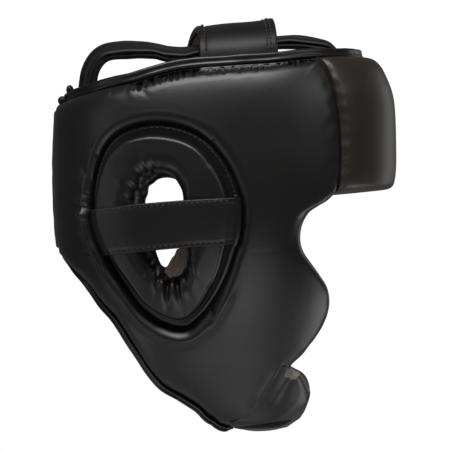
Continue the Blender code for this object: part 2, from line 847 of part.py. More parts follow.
def top_band(name):
    """Wide band over the crown from one side of the rim to the other."""
    half = [(aside * HALF_WIDTH, rise * TOP_BAND_CLEAR) for aside, rise in BAND_PATH]
    rows = [(-x, z) for x, z in half] + [(x, z) for x, z in reversed(half[:-1])]
    line = trace(rows, BAND_TRACE)
    along = np.gradient(line, axis=0)
    along /= np.linalg.norm(along, axis=1)[:, None]
    front_radius = FRONT_REACH + WIDEST_SETBACK
    loops = []
    for i, ((x, z), (run, climb)) in enumerate(zip(line, along)):
        share = i / (len(line) - 1)
        right, left = max(0.0, 1 - 2 * share), max(0.0, 2 * share - 1)
        forward = BAND_FORWARD_MIDDLE + (BAND_FORWARD_RIGHT - BAND_FORWARD_MIDDLE) * right
        forward += (BAND_FORWARD_LEFT - BAND_FORWARD_MIDDLE) * left
        upper, lower = [], []
        for k in range(BAND_POINTS):
            y = -forward + TOP_BAND_WIDTH * (k / (BAND_POINTS - 1) - 0.5)
            ahead = max(0.0, WIDEST_SETBACK - y) / front_radius
            bow = (1 - ahead ** FRONT_SQUARENESS) ** (BAND_BOW / FRONT_SQUARENESS)
            slope = -BAND_TILT * (y + forward) - BAND_LOWER
            for side, lift in ((upper, 0.5), (lower, -0.5)):
                offset = lift * TOP_BAND_THICKNESS
                point = ((x - climb * offset) * bow, y, z + run * offset + slope)
                side.append(np.array(point))
        loops.append(upper + lower[::-1])
    return loft(name, loops, False)


def clear_scene():
    """Remove every object that the scene starts with."""
    for old in list(bpy.data.objects):
        bpy.data.objects.remove(old, do_unlink=True)


def main():
    """Build every piece of the headgear."""
    clear_scene()
    parts = bpy.data.collections.new("boxing_headgear")
    bpy.context.scene.collection.children.link(parts)
    leather = material("black_leather", (0.02, 0.02, 0.021), 0.42)
    brown_leather = material("forehead_leather", (0.032, 0.026, 0.023), 0.45)
    webbing = material("band_leather", (0.018, 0.018, 0.019), 0.5)
    suede = material("suede", (0.11, 0.085, 0.07), 0.9)
    panel = place(side_panel("side_panel_right"), parts, leather)
    place(mirrored("side_panel_left", panel), parts, leather)
    ring = place(ear_pad("ear_pad_right"), parts, leather)
    place(mirrored("ear_pad_left", ring), parts, leather)
    strap = place(ear_strap("ear_strap_right"), parts, leather)
    place(mirrored("ear_strap_left", strap), parts, leather)
    edge = place(neck_binding("neck_binding_right"), parts, leather)
    place(mirrored("neck_binding_left", edge), parts, leather)
    place(rim_binding("rim_binding"), parts, leather)
    place(forehead_pad("forehead_pad"), parts, brown_leather)
    place(rear_closure("rear_closure"), parts, leather)
    place(chin_pad("chin_pad"), parts, leather)
    place(chin_lining("chin_lining"), parts, suede)
    place(crown_strap("crown_strap"), parts, webbing)
    place(top_band("top_band"), parts, webbing)


main()
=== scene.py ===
import math

import bpy
import numpy as np
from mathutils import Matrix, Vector


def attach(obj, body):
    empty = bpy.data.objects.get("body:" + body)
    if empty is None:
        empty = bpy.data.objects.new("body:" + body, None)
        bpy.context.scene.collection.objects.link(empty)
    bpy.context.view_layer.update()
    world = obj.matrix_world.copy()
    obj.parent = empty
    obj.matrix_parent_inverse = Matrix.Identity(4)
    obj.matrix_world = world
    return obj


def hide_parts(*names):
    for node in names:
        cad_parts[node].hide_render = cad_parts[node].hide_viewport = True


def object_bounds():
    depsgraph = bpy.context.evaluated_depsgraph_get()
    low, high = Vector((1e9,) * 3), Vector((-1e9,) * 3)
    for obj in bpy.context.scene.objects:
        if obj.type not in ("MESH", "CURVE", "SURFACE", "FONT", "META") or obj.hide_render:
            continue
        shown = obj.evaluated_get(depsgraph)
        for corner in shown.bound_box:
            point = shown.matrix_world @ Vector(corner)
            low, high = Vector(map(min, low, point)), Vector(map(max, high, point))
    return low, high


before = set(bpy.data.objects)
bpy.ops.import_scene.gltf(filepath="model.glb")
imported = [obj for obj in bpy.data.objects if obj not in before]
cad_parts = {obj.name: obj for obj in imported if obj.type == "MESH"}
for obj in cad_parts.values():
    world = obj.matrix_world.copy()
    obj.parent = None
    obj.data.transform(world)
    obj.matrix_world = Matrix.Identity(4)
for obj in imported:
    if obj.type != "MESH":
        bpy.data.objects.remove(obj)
cad_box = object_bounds()

# The head form and its tables, as the solids have them. Metres, heights from ear level.
HALF_WIDTH = 0.106
FRONT_REACH = 0.133
REAR_REACH = 0.138
RIM_RISE = 0.130
JAW_DROP = 0.155
CROWN_ABOVE_RIM = 0.006
CROWN_RISE = RIM_RISE + CROWN_ABOVE_RIM
WIDEST_SETBACK = 0.010
FRONT_SQUARENESS = 2.2
REAR_SQUARENESS = 2.5
SIDE_WALL = 0.026
NAPE_WALL = 0.017
JAW_WALL = 0.019
FOREHEAD_WALL = 0.028
EAR_PAD_WALL = 0.025
EAR_PAD_PROUD = 0.001
EAR_PAD_REACH = 0.076
EAR_SETBACK = 0.043
CLOSURE_WALL = 0.010
CLOSURE_DEPTH = 0.0045
CHIN_PAD_WALL = 0.020
CHIN_PAD_HALF_WIDTH = 0.047
CHIN_PAD_REAR_HALF_WIDTH = 0.0432
LINING_THICKNESS = 0.0015
STRAP_THICKNESS = 0.0025
EAR_STRAP_HEIGHT = 0.0335
CROWN_STRAP_WIDTH = 0.034
CROWN_STRAP_THICKNESS = 0.005
TOP_BAND_WIDTH = 0.059
TOP_BAND_THICKNESS = 0.0056
TOP_BAND_CLEAR = 0.019
RIM_BINDING_HEIGHT = 0.009
RIM_BINDING_THICKNESS = 0.007
RIM_BINDING_DEPTH = 0.012
NECK_BINDING_HEIGHT = 0.0052
NAPE_BINDING_HEIGHT = 0.0026
NECK_BINDING_THICKNESS = 0.009
NECK_BINDING_DEPTH = 0.0115
CLEARANCE = 0.0003
OVAL_SHARE = 0.93
TINY = 1e-4
MM = 0.001

LEVELS = (
    # up, front, rear, side
    (-1.06, 0.55, 0.69, 0.53),
    (-0.87, 0.62, 0.78, 0.63),
    (-0.645, 0.71, 0.865, 0.76),
    (-0.355, 0.81, 0.94, 0.915),
    (-0.065, 0.865, 0.985, 1.0),
    (0.19, 0.98, 1.0, 1.0),
    (0.46, 1.0, 1.0, 0.962),
    (0.77, 0.975, 0.98, 0.885),
    (1.05, 0.86, 0.905, 0.755),
    (1.25, 0.74, 0.81, 0.63),
)
RIM_EDGE = (
    # turn, up
    (161.0, 0.715),
    (151.0, 0.735),
    (138.0, 0.765),
    (131.0, 0.785),
    (122.5, 0.81),
    (114.0, 0.832),
    (105.0, 0.875),
    (98.0, 0.903),
    (91.0, 0.922),
    (81.0, 0.937),
    (70.5, 0.952),
    (59.0, 0.976),
    (52.5, 0.985),
)
SEAM_EDGE = (
    (52.5, 0.985),
    (51.2, 0.846),
    (50.4, 0.70),
    (49.6, 0.50),
    (49.5, 0.34),
    (49.7, 0.25),
    (49.2, 0.178),
)
FACE_EDGE = (
    (49.2, 0.178),
    (50.8, 0.137),
    (54.1, 0.102),
    (57.1, 0.062),
    (58.3, 0.0),
    (58.3, -0.054),
    (57.4, -0.102),
    (55.3, -0.146),
    (51.1, -0.199),
    (46.4, -0.254),
    (41.9, -0.311),
    (39.2, -0.374),
    (38.4, -0.431),
    (39.1, -0.497),
    (43.0, -0.575),
    (47.8, -0.642),
    (53.6, -0.696),
    (56.5, -0.725),
)
CHIN_EDGE = (
    (56.5, -0.725),
    (60.7, -0.79),
    (64.8, -0.868),
    (71.9, -0.952),
    (79.9, -0.992),
)
NECK_EDGE = (
    (79.9, -0.992),
    (86.0, -0.983),
    (89.5, -0.95),
    (93.0, -0.895),
    (99.5, -0.838),
    (106.5, -0.787),
    (111.5, -0.712),
    (115.5, -0.635),
    (120.0, -0.548),
    (125.0, -0.458),
    (131.5, -0.385),
    (137.0, -0.312),
    (142.0, -0.264),
    (153.0, -0.193),
    (161.0, -0.147),
)
NAPE_EDGE = (
    (161.0, -0.147),
    (161.5, 0.0),
    (162.0, 0.25),
    (162.0, 0.5),
    (161.0, 0.715),
)
BROW_RIM = (
    (-52.5, 0.985),
    (-43.0, 0.992),
    (-25.0, 1.005),
    (0.0, 1.012),
    (25.0, 1.005),
    (43.0, 0.992),
    (52.5, 0.985),
)
FOREHEAD_HEM = 0.198
EDGES = (
    # edge, outer drop, outer width, inner drop, inner width, rays, shoulder drop, shoulder reach
    (RIM_EDGE, 0.31, 0.62, 0.25, 0.40, 300, 0.0030, 0.011),
    (SEAM_EDGE, 0.12, 0.23, 0.08, 0.15, 60, 0.0012, 0.007),
    (FACE_EDGE, 0.42, 0.50, 0.40, 0.50, 110, 0.0022, 0.010),
    (CHIN_EDGE, 0.20, 0.30, 0.30, 0.30, 40, 0.0008, 0.010),
    (NECK_EDGE, 0.38, 0.55, 0.26, 0.38, 110, 0.0028, 0.011),
    (NAPE_EDGE, 0.30, 0.50, 0.24, 0.38, 50, 0.0022, 0.012),
)
EAR_HOLE_ROUND = (0.24, 0.30, 0.15, 0.22)
EAR_PAD_HOLE_ROUND = (0.44, 0.50, 0.34, 0.40)
FOREHEAD_HEM_ROUND = (0.25, 0.25, 0.12, 0.15)
FOREHEAD_CREST_ROUND = (0.28, 0.50, 0.22, 0.40)
CLOSURE_ROUND = (0.3, 0.10, 0.3, 0.10)
TEARDROP = (
    # direction, outer edge, hole
    (0.0, 0.725, 0.20),
    (30.0, 0.785, 0.225),
    (50.0, 0.85, 0.29),
    (70.0, 0.935, 0.42),
    (90.0, 0.985, 0.505),
    (110.0, 1.015, 0.53),
    (125.0, 1.0, 0.48),
    (145.0, 0.875, 0.385),
    (165.0, 0.78, 0.335),
    (185.0, 0.72, 0.305),
    (207.0, 0.675, 0.28),
    (225.0, 0.70, 0.30),
    (240.0, 0.765, 0.35),
    (255.0, 0.885, 0.43),
    (268.0, 0.985, 0.54),
    (280.0, 1.035, 0.56),
    (290.0, 0.965, 0.51),
    (301.0, 0.875, 0.41),
    (316.0, 0.785, 0.29),
    (335.0, 0.72, 0.215),
)
EAR_STRAP_REAR = -0.075
EAR_STRAP_FRONT = 0.045
EAR_STRAP_DIP = (
    # distance, depth
    (0.0, 0.115),
    (0.08, 0.07),
    (0.2, 0.008),
    (0.36, -0.052),
)
CHIN_PATH = (
    # forward, up
    (0.415, -0.74),
    (0.428, -0.83),
    (0.375, -0.935),
    (0.24, -0.966),
    (0.06, -0.963),
)
CHIN_SWEEP_BACK = 0.016
CHIN_SWEEP_UP = 0.006
CHIN_FULL = 0.72
CROWN_PATH = (
    # forward, rise, roll
    (0.684, -0.034, 0.0),
    (0.672, -0.022, 0.0),
    (0.654, -0.012, -2.0),
    (0.632, -0.0047, -6.0),
    (0.600, 0.0000, -11.0),
    (0.551, 0.0019, -14.0),
    (0.481, 0.0035, -16.0),
    (0.398, 0.0043, -15.0),
    (0.317, 0.0037, -14.0),
    (0.16, 0.0014, -14.0),
    (0.0, 0.0, -16.0),
    (-0.12, -0.0030, -18.0),
    (-0.232, -0.0058, -19.5),
    (-0.328, -0.0050, -20.0),
    (-0.385, -0.0030, -20.0),
    (-0.46, -0.0020, -22.5),
    (-0.537, -0.0018, -25.0),
    (-0.616, -0.0024, -26.0),
    (-0.665, -0.0036, -26.0),
    (-0.705, -0.0066, -26.0),
    (-0.740, -0.0120, -26.0),
    (-0.764, -0.0190, -25.0),
    (-0.774, -0.0258, -24.0),
    (-0.786, -0.0335, -20.0),
    (-0.825, -0.0450, -8.0),
    (-0.862, -0.0580, 0.0),
)
BAND_PATH = (
    # aside, rise
    (0.578, -2.05),
    (0.565, -1.40),
    (0.548, -0.75),
    (0.515, 0.0),
    (0.440, 0.52),
    (0.320, 0.85),
    (0.165, 1.04),
    (0.0, 1.10),
)
BAND_FORWARD_RIGHT = 0.0125
BAND_FORWARD_MIDDLE = 0.0062
BAND_FORWARD_LEFT = -0.0100
BAND_TILT = 0.10
BAND_LOWER = 0.0021

# Photograph's frame: camera distance from the centre plane, metres a pixel there, middle pixel.
CAMERA_REACH = 1.40
PIXEL = 0.00078
MIDDLE = 225.0
PHOTO_SIDE = 450

# Creases and folds on the side panel, in the photograph's pixels: two ends, width, depth in mm
# (below 0 for a raised fold).
CREASES = (
    # from x, from y, to x, to y, width, depth
    (109.0, 84.0, 110.0, 93.0, 1.6, 0.35),
    (129.0, 84.0, 131.0, 93.0, 4.4, -0.6),
    (138.0, 86.0, 147.0, 95.0, 3.2, 0.35),
    (250.0, 253.0, 301.0, 250.0, 1.6, 0.05),
    (286.0, 367.0, 266.0, 400.0, 3.5, 1.1),
    (281.0, 365.0, 260.0, 398.0, 3.0, -0.6),
    (83.0, 168.0, 88.0, 182.0, 3.0, 0.8),
    (74.0, 176.0, 84.0, 196.0, 4.0, -0.6),
    (80.0, 190.0, 90.0, 197.0, 2.2, 0.9),
    (76.0, 206.0, 88.0, 207.5, 2.0, 1.1),
    (74.0, 199.0, 87.0, 201.0, 3.0, -1.2),
    (75.0, 214.0, 88.0, 215.5, 3.4, -1.5),
    (76.0, 222.0, 88.0, 222.5, 1.8, 0.9),
    (76.0, 231.0, 90.0, 236.0, 3.4, -0.7),
    (83.0, 252.0, 96.0, 254.0, 1.8, 0.5),
    (92.0, 150.0, 99.0, 158.0, 2.5, 0.6),
    (189.0, 334.0, 200.0, 331.0, 2.4, 0.4),
)


# Seeded ripples: how many sine waves each adds up, and their lowest and highest rates.
RIPPLES = {
    # what it shapes: seed, waves, lowest, highest
    "lip": (5, 5, 4.0, 18.0),
    "pucker": (11, 7, 0.35, 1.5),
    "fine_pucker": (12, 6, 0.5, 2.0),
    "strip_edge": (13, 5, 0.3, 1.1),
    "sheen_edge": (15, 6, 0.5, 2.4),
    "panel_wrinkle": (21, 8, 0.10, 0.42),
    "panel_swell": (22, 8, 0.015, 0.06),
    "low_gathers": (31, 4, 34.0, 52.0),
    "high_gathers": (37, 4, 30.0, 50.0),
    "low_hole_edge": (41, 4, 20.0, 44.0),
    "high_hole_edge": (43, 4, 12.0, 30.0),
    "ear_pad": (51, 8, 0.05, 0.20),
    "forehead": (61, 8, 0.3, 1.2),
    "forehead_seam": (62, 7, 0.2, 0.8),
    "closure": (71, 6, 0.4, 1.4),
    "rim_binding": (81, 6, 0.6, 2.4),
    "neck_binding": (83, 6, 0.6, 2.4),
    "chin": (91, 8, 0.3, 1.2),
    "patch_edge": (93, 5, 0.25, 0.9),
    "cheek": (95, 6, 0.06, 0.20),
    "crown": (101, 8, 0.3, 1.3),
    "band": (111, 8, 0.3, 1.2),
}


def smooth(rows, key, column):
    """Cubic curves through one column of a table, read at keys in its first column."""
    table = np.array(rows, float)
    keys, values = table[:, 0], table[:, column]
    last = len(keys) - 1
    low = np.maximum(np.arange(last + 1) - 1, 0)
    high = np.minimum(np.arange(last + 1) + 1, last)
    slopes = (values[high] - values[low]) / (keys[high] - keys[low])
    key = np.clip(key, keys[0], keys[-1])
    first = np.clip(np.searchsorted(keys, key, side="right") - 1, 0, last - 1)
    span = keys[first + 1] - keys[first]
    t = (key - keys[first]) / span
    blend = 3 * t ** 2 - 2 * t ** 3
    leave = (t ** 3 - 2 * t ** 2 + t) * span * slopes[first]
    arrive = (t ** 3 - t ** 2) * span * slopes[first + 1]
    return values[first] + (values[first + 1] - values[first]) * blend + leave + arrive


def trace(rows, count):
    """Points spaced evenly along a smooth line through rows."""
    points = np.array(rows, float)
    marks = np.concatenate(([0.0], np.cumsum(np.linalg.norm(np.diff(points, axis=0), axis=1))))
    table = [(mark, *point) for mark, point in zip(marks, points)]
    fine = np.linspace(0.0, marks[-1], 60 * len(rows))
    line = np.array([smooth(table, fine, c + 1) for c in range(points.shape[1])]).T
    reach = np.concatenate(([0.0], np.cumsum(np.linalg.norm(np.diff(line, axis=0), axis=1))))
    wanted = np.linspace(0.0, reach[-1], count)
    return np.array([np.interp(wanted, reach, line[:, c]) for c in range(line.shape[1])]).T


def ease(value):
    """A smooth step from 0 to 1."""
    t = np.clip(value, 0.0, 1.0)
    return t * t * (3 - 2 * t)


def plateau(value, places):
    """Rises from 0 to 1 between the first two places and falls between the last two."""
    first, full, fading, last = places
    return ease((value - first) / (full - first)) * (1 - ease((value - fading) / (last - fading)))


def bell(value, centre, width):
    """A round hump of height 1."""
    return np.exp(-((value - centre) / width) ** 2)


def signed_power(value, power):
    """A power of a value's size, with its sign kept."""
    return np.sign(value) * np.abs(value) ** power


def height_of(up):
    """Height above ear level of a share of RIM_RISE or JAW_DROP."""
    return np.where(np.asarray(up) > 0, np.asarray(up) * RIM_RISE, np.asarray(up) * JAW_DROP)


def share_of(height):
    """The share that height_of turns into this height."""
    return np.where(height > 0, height / RIM_RISE, height / JAW_DROP)


def form(turn, height):
    """Points of the head form, turn in radians and height above ear level."""
    up = share_of(height)
    front = smooth(LEVELS, up, 1) * FRONT_REACH + WIDEST_SETBACK
    rear = smooth(LEVELS, up, 2) * REAR_REACH - WIDEST_SETBACK
    side = smooth(LEVELS, up, 3) * HALF_WIDTH
    cosine, sine = np.cos(turn), np.sin(turn)
    power = np.where(cosine >= 0, 2 / FRONT_SQUARENESS, 2 / REAR_SQUARENESS)
    away = np.abs(cosine) ** power
    y = WIDEST_SETBACK + np.where(cosine >= 0, -front, rear) * away
    x = -np.sign(sine) * side * np.abs(sine) ** power
    return np.stack(np.broadcast_arrays(x, y, height), axis=-1)


def unit(vectors):
    """Vectors scaled to length one."""
    return vectors / np.maximum(np.linalg.norm(vectors, axis=-1, keepdims=True), 1e-12)


def outward(turn, height):
    """The head form's outward unit normals."""
    around = form(turn + TINY, height) - form(turn - TINY, height)
    up = form(turn, height + TINY) - form(turn, height - TINY)
    normal = unit(np.cross(around, up))
    point = form(turn, height)
    facing = normal[..., 0] * point[..., 0] + normal[..., 1] * (point[..., 1] - WIDEST_SETBACK)
    return normal * np.where(facing < 0, -1.0, 1.0)[..., None]


def skin(turn, height, depth):
    """Points at a depth below the head form, from the crown seat."""
    turn, height = np.broadcast_arrays(np.asarray(turn, float), np.asarray(height, float))
    point = form(turn, height) - outward(turn, height) * np.asarray(depth)[..., None]
    return point - np.array((0.0, 0.0, CROWN_RISE))


def turn_at(y, height):
    """The turn at which the right side of the head form reaches a given y."""
    y, height = np.broadcast_arrays(np.asarray(y, float), np.asarray(height, float))
    low, high = np.zeros(y.shape), np.full(y.shape, math.pi)
    for _ in range(40):
        middle = (low + high) / 2
        below = form(middle, height)[..., 1] < y
        low, high = np.where(below, middle, low), np.where(below, high, middle)
    return (low + high) / 2


def wall_at(turn, height):
    """Padding thickness of a side panel."""
    to_nape = ease((np.degrees(turn) - 112.0) / 46.0)
    to_jaw = ease((-share_of(height) - 0.5) / 0.45)
    wall = SIDE_WALL + (NAPE_WALL - SIDE_WALL) * to_nape
    return wall + (np.minimum(wall, JAW_WALL) - wall) * to_jaw


RADIUS = (HALF_WIDTH + FRONT_REACH) / 2 * OVAL_SHARE
EAR_TURN = float(turn_at(EAR_SETBACK, 0.0))


def teardrop_reach(direction, column):
    """Reach of the teardrop's edge or hole in a direction in degrees."""
    rows = [(a - 360.0, b, c) for a, b, c in TEARDROP] + list(TEARDROP)
    rows += [(a + 360.0, b, c) for a, b, c in TEARDROP]
    return smooth(rows, np.asarray(direction) % 360.0, column) * EAR_PAD_REACH


def teardrop(direction, column, inset=0.0):
    """Turns and heights on the teardrop in directions given in degrees."""
    reach = teardrop_reach(direction, column) - inset
    angle = np.radians(direction)
    height = reach * np.sin(angle)
    return turn_at(EAR_SETBACK - reach * np.cos(angle), height), height


def photo_place(points):
    """Where points fall in the photograph, in pixels."""
    scale = CAMERA_REACH / (PIXEL * (CAMERA_REACH + points[..., 0]))
    return MIDDLE - points[..., 1] * scale, MIDDLE - (points[..., 2] + CROWN_RISE) * scale


def ripple(place, name):
    """A seeded sum of sine waves along one or more coordinates, about -1 to 1."""
    seed, waves, low, high = RIPPLES[name]
    chance = np.random.default_rng(seed)
    total = 0.0
    for _ in range(waves):
        phase = chance.uniform(0, 2 * math.pi)
        sweep = phase
        for coordinate in place:
            sweep = sweep + coordinate * chance.uniform(low, high) * chance.choice((-1, 1))
        total = total + np.sin(sweep)
    return total / math.sqrt(waves)


def creases(points, rows):
    """Depth in metres of creases and folds at points, in the photograph's frame."""
    px, py = photo_place(points)
    depth = np.zeros(px.shape)
    for ax, ay, bx, by, width, deep in rows:
        run = np.array((bx - ax, by - ay))
        length = np.linalg.norm(run)
        along = ((px - ax) * run[0] + (py - ay) * run[1]) / length ** 2
        near = np.clip(along, 0.0, 1.0)
        off = np.hypot(px - ax - near * run[0], py - ay - near * run[1])
        taper = np.sin(math.pi * np.clip(near * 0.8 + 0.1, 0.0, 1.0)) ** 0.6
        depth = depth + deep * MM * taper * bell(off, 0.0, width)
    return depth


def mesh_piece(name, points, faces, finishes, picks=None):
    """A smooth mesh piece from points and faces, turned outwards."""
    points = np.asarray(points, float).reshape(-1, 3)
    faces = np.asarray(faces)
    a, b, c, d = (points[faces[:, k]] for k in range(4))
    volume = np.einsum("ij,ij->i", a, np.cross(b, c)) + np.einsum("ij,ij->i", a, np.cross(c, d))
    if volume.sum() < 0:
        faces = faces[:, ::-1]
    mesh = bpy.data.meshes.new(name)
    mesh.from_pydata(points.tolist(), [], faces.tolist())
    for finish in finishes:
        mesh.materials.append(finish)
    if picks is not None:
        mesh.polygons.foreach_set("material_index", np.asarray(picks, dtype=np.int32))
    mesh.update()
    mesh.shade_smooth()
    piece = bpy.data.objects.new(name, mesh)
    bpy.context.scene.collection.objects.link(piece)
    return piece


def grid_faces(rows, columns, closed_rows, start=0):
    """Quads of a grid that is closed across, and along its rows if asked."""
    index = np.arange(rows * columns).reshape(rows, columns) + start
    following = np.roll(index, -1, axis=0)
    if not closed_rows:
        index, following = index[:-1], following[:-1]
    beside, beyond = np.roll(index, -1, axis=1), np.roll(following, -1, axis=1)
    return np.stack((index, beside, beyond, following), axis=-1).reshape(-1, 4)


def end_faces(rows, columns):
    """Quads that close the first and last section of a grid."""
    rungs = []
    for j in range(columns // 2 - 1):
        rungs.append((j, columns - 1 - j, columns - 2 - j, j + 1))
    rungs = np.array(rungs)
    return np.concatenate((rungs, rungs[:, ::-1] + (rows - 1) * columns))


def tube(name, loops, closed, finishes, pick_columns=None):
    """A piece through closed sections; pick_columns gives the material of each column, or of each
    column in each row."""
    loops = np.asarray(loops)
    rows, columns = loops.shape[:2]
    faces = grid_faces(rows, columns, closed)
    picks = None
    if pick_columns is not None:
        strips = rows if closed else rows - 1
        picks = np.broadcast_to(pick_columns, (strips, columns)).ravel()
    if not closed:
        caps = end_faces(rows, columns)
        faces = np.concatenate((faces, caps))
        if picks is not None:
            picks = np.concatenate((picks, np.zeros(len(caps), int)))
    return mesh_piece(name, loops, faces, finishes, picks)


def mirror(name, piece):
    """The same piece on the wearer's other side."""
    mesh = piece.data.copy()
    mesh.name = name
    count = len(mesh.vertices)
    flat = np.empty(count * 3)
    mesh.vertices.foreach_get("co", flat)
    flat = flat.reshape(-1, 3) * np.array((-1.0, 1.0, 1.0))
    mesh.vertices.foreach_set("co", flat.ravel())
    mesh.flip_normals()
    mesh.update()
    other = bpy.data.objects.new(name, mesh)
    bpy.context.scene.collection.objects.link(other)
    return other


def section(length, wall, near, far, rolls, flats):
    """Distances and drops across a pad for many rays, from near edge to far edge."""
    length, wall = np.asarray(length)[:, None], np.asarray(wall)[:, None]
    near_drop, near_width = near[0][:, None] * wall, near[1][:, None] * SIDE_WALL
    far_drop, far_width = far[0][:, None] * wall, far[1][:, None] * SIDE_WALL
    crowd = np.minimum(1.0, 0.94 * length / (near_width + far_width))
    near_width, far_width = near_width * crowd, far_width * crowd
    angle = np.linspace(0.0, math.pi / 2, rolls + 1)
    inner = np.linspace(0.0, 1.0, flats + 1)[1:-1]
    distance = np.concatenate((
        near_width * (1 - np.cos(angle)),
        near_width + (length - near_width - far_width) * inner,
        length - far_width * (1 - np.cos(angle[::-1])),
    ), axis=1)
    flat = np.zeros((len(length), len(inner)))
    drop = np.concatenate((
        near_drop * (1 - np.sin(angle)), flat, far_drop * (1 - np.sin(angle[::-1])),
    ), axis=1)
    return distance, drop


def section_columns(rolls, flats):
    """How many points a section has across one face."""
    return 2 * (rolls + 1) + flats - 1


def pad(start, end, wall_of, base, near, far, outer_steps, inner_steps, relief):
    """Closed sections of a pad between places on the head form.

    relief(turn, height, from near edge, from far edge) gives extra depth of the outer face.
    """
    length = np.hypot((end[0] - start[0]) * RADIUS, end[1] - start[1])
    middle = wall_of((start[0] + end[0]) / 2, (start[1] + end[1]) / 2)
    faces = []
    for kind, (rolls, flats) in (("outer", outer_steps), ("inner", inner_steps)):
        pick = 0 if kind == "outer" else 2
        distance, drop = section(length, middle, near[pick:pick + 2], far[pick:pick + 2],
                                 rolls, flats)
        share = distance / length[:, None]
        turn = start[0][:, None] + (end[0] - start[0])[:, None] * share
        height = start[1][:, None] + (end[1] - start[1])[:, None] * share
        here = wall_of(turn, height)
        drop = drop * here / middle[:, None]
        if kind == "outer":
            extra = relief(turn, height, distance, length[:, None] - distance)
            faces.append(skin(turn, height, base + drop + extra))
        else:
            faces.append(skin(turn, height, base + here - drop)[:, ::-1])
    return np.concatenate(faces, axis=1)


def edge_line(edge, count):
    """Evenly spaced turn and height pairs along an edge table."""
    rows = [(math.radians(turn) * RADIUS, float(height_of(up))) for turn, up in edge]
    line = trace(rows, count)
    return np.stack((line[:, 0] / RADIUS, line[:, 1]), axis=1)


def spread(values, times):
    """Values round a closed row, averaged with their neighbours again and again."""
    for _ in range(times):
        values = (np.roll(values, 1, axis=0) + values + np.roll(values, -1, axis=0)) / 3
    return values


# Waves to the metre and depths of the fine relief, and how far the gloss wanders.
CLOUD_SCALE, GRAIN_SCALE, PORE_SCALE, GRAIN_DEPTH = 14.0, 1100.0, 420.0, 0.0004
MOTTLE_SCALE, NAP_SCALE, NAP_DEPTH = 90.0, 900.0, 0.0005
GLOSS_SPREAD = 0.05


def new_surface(name, gloss):
    """A material's node tree, its shader and its object coordinates."""
    material = bpy.data.materials.new(name)
    material.use_nodes = True
    tree = material.node_tree
    surface = tree.nodes["Principled BSDF"]
    surface.inputs["Specular IOR Level"].default_value = gloss
    return material, tree, surface, tree.nodes.new("ShaderNodeTexCoord").outputs["Object"]


def add_noise(tree, place, scale, detail):
    """A noise texture on object coordinates."""
    noise = tree.nodes.new("ShaderNodeTexNoise")
    noise.inputs["Scale"].default_value = scale
    noise.inputs["Detail"].default_value = detail
    tree.links.new(place, noise.inputs["Vector"])
    return noise.outputs["Fac"]


def add_tint(tree, surface, cloud, dark, light, spread_at):
    """Base colour that runs from dark to light, spread_at to each side of a cloud's middle."""
    tint = tree.nodes.new("ShaderNodeValToRGB")
    for element, way, colour in zip(tint.color_ramp.elements, (-1, 1), (dark, light)):
        element.position = 0.5 + way * spread_at
        element.color = (*colour, 1.0)
    tree.links.new(cloud, tint.inputs["Fac"])
    tree.links.new(tint.outputs["Color"], surface.inputs["Base Color"])


def add_bump(tree, surface, height, strength, distance):
    """Fine relief on a shader."""
    bump = tree.nodes.new("ShaderNodeBump")
    bump.inputs["Strength"].default_value = strength
    bump.inputs["Distance"].default_value = distance
    tree.links.new(height, bump.inputs["Height"])
    tree.links.new(bump.outputs["Normal"], surface.inputs["Normal"])


def leather(name, colour, rough, grain, patch, shine=0.30):
    """Smooth coated leather: fine grain bump, faint patches of colour and of gloss."""
    material, tree, surface, place = new_surface(name, shine)
    surface.inputs["Metallic"].default_value = 0.0
    cloud = add_noise(tree, place, CLOUD_SCALE, 4.0)
    add_tint(tree, surface, cloud, [c * (1 - patch) for c in colour], [c * (1 + patch) for c in colour], 0.2)
    gloss = tree.nodes.new("ShaderNodeMapRange")
    gloss.inputs["To Min"].default_value = rough - GLOSS_SPREAD
    gloss.inputs["To Max"].default_value = rough + GLOSS_SPREAD
    tree.links.new(cloud, gloss.inputs["Value"])
    tree.links.new(gloss.outputs["Result"], surface.inputs["Roughness"])
    cells = tree.nodes.new("ShaderNodeTexVoronoi")
    cells.feature = "DISTANCE_TO_EDGE"
    cells.inputs["Scale"].default_value = GRAIN_SCALE
    tree.links.new(place, cells.inputs["Vector"])
    both = tree.nodes.new("ShaderNodeMath")
    both.operation = "ADD"
    tree.links.new(cells.outputs["Distance"], both.inputs[0])
    tree.links.new(add_noise(tree, place, PORE_SCALE, 3.0), both.inputs[1])
    add_bump(tree, surface, both.outputs["Value"], grain, GRAIN_DEPTH)
    return material


def suede(name, dark, light):
    """Napped lining: mottled brown grey with a soft fibre bump."""
    material, tree, surface, place = new_surface(name, 0.1)
    surface.inputs["Roughness"].default_value = 0.95
    surface.inputs["Sheen Weight"].default_value = 0.25
    add_tint(tree, surface, add_noise(tree, place, MOTTLE_SCALE, 8.0), dark, light, 0.18)
    add_bump(tree, surface, add_noise(tree, place, NAP_SCALE, 5.0), 0.6, NAP_DEPTH)
    return material


# Leathers: name, colour, roughness, strength of the grain, share of patchiness, shine.
BLACK = leather("black_leather", (0.0040, 0.0040, 0.0037), 0.36, 0.10, 0.12)
BROWN = leather("forehead_leather", (0.0120, 0.0088, 0.0062), 0.40, 0.10, 0.10)
BAND = leather("band_leather", (0.0046, 0.0046, 0.0043), 0.44, 0.12, 0.12, 0.15)
EDGING = leather("edging_leather", (0.0026, 0.0026, 0.0025), 0.33, 0.08, 0.10)
# Painted shade: a darker, duller leather laid where the chin cup's underside and part of the strip under the
# rim binding lie in shade.
PAINTED_SHADE_LEATHER = leather("painted_shade_leather", (0.0022, 0.0022, 0.0021), 0.55, 0.10, 0.10, 0.06)
# Painted sheen: a lighter grey leather that stands in for the glints on the crinkled strip under the rim
# binding.
SHEEN_STRIP = leather("rim_painted_sheen", (0.050, 0.049, 0.047), 0.36, 0.4, 0.35, 0.35)
THREAD = leather("thread", (0.016, 0.0155, 0.015), 0.45, 0.3, 0.1)
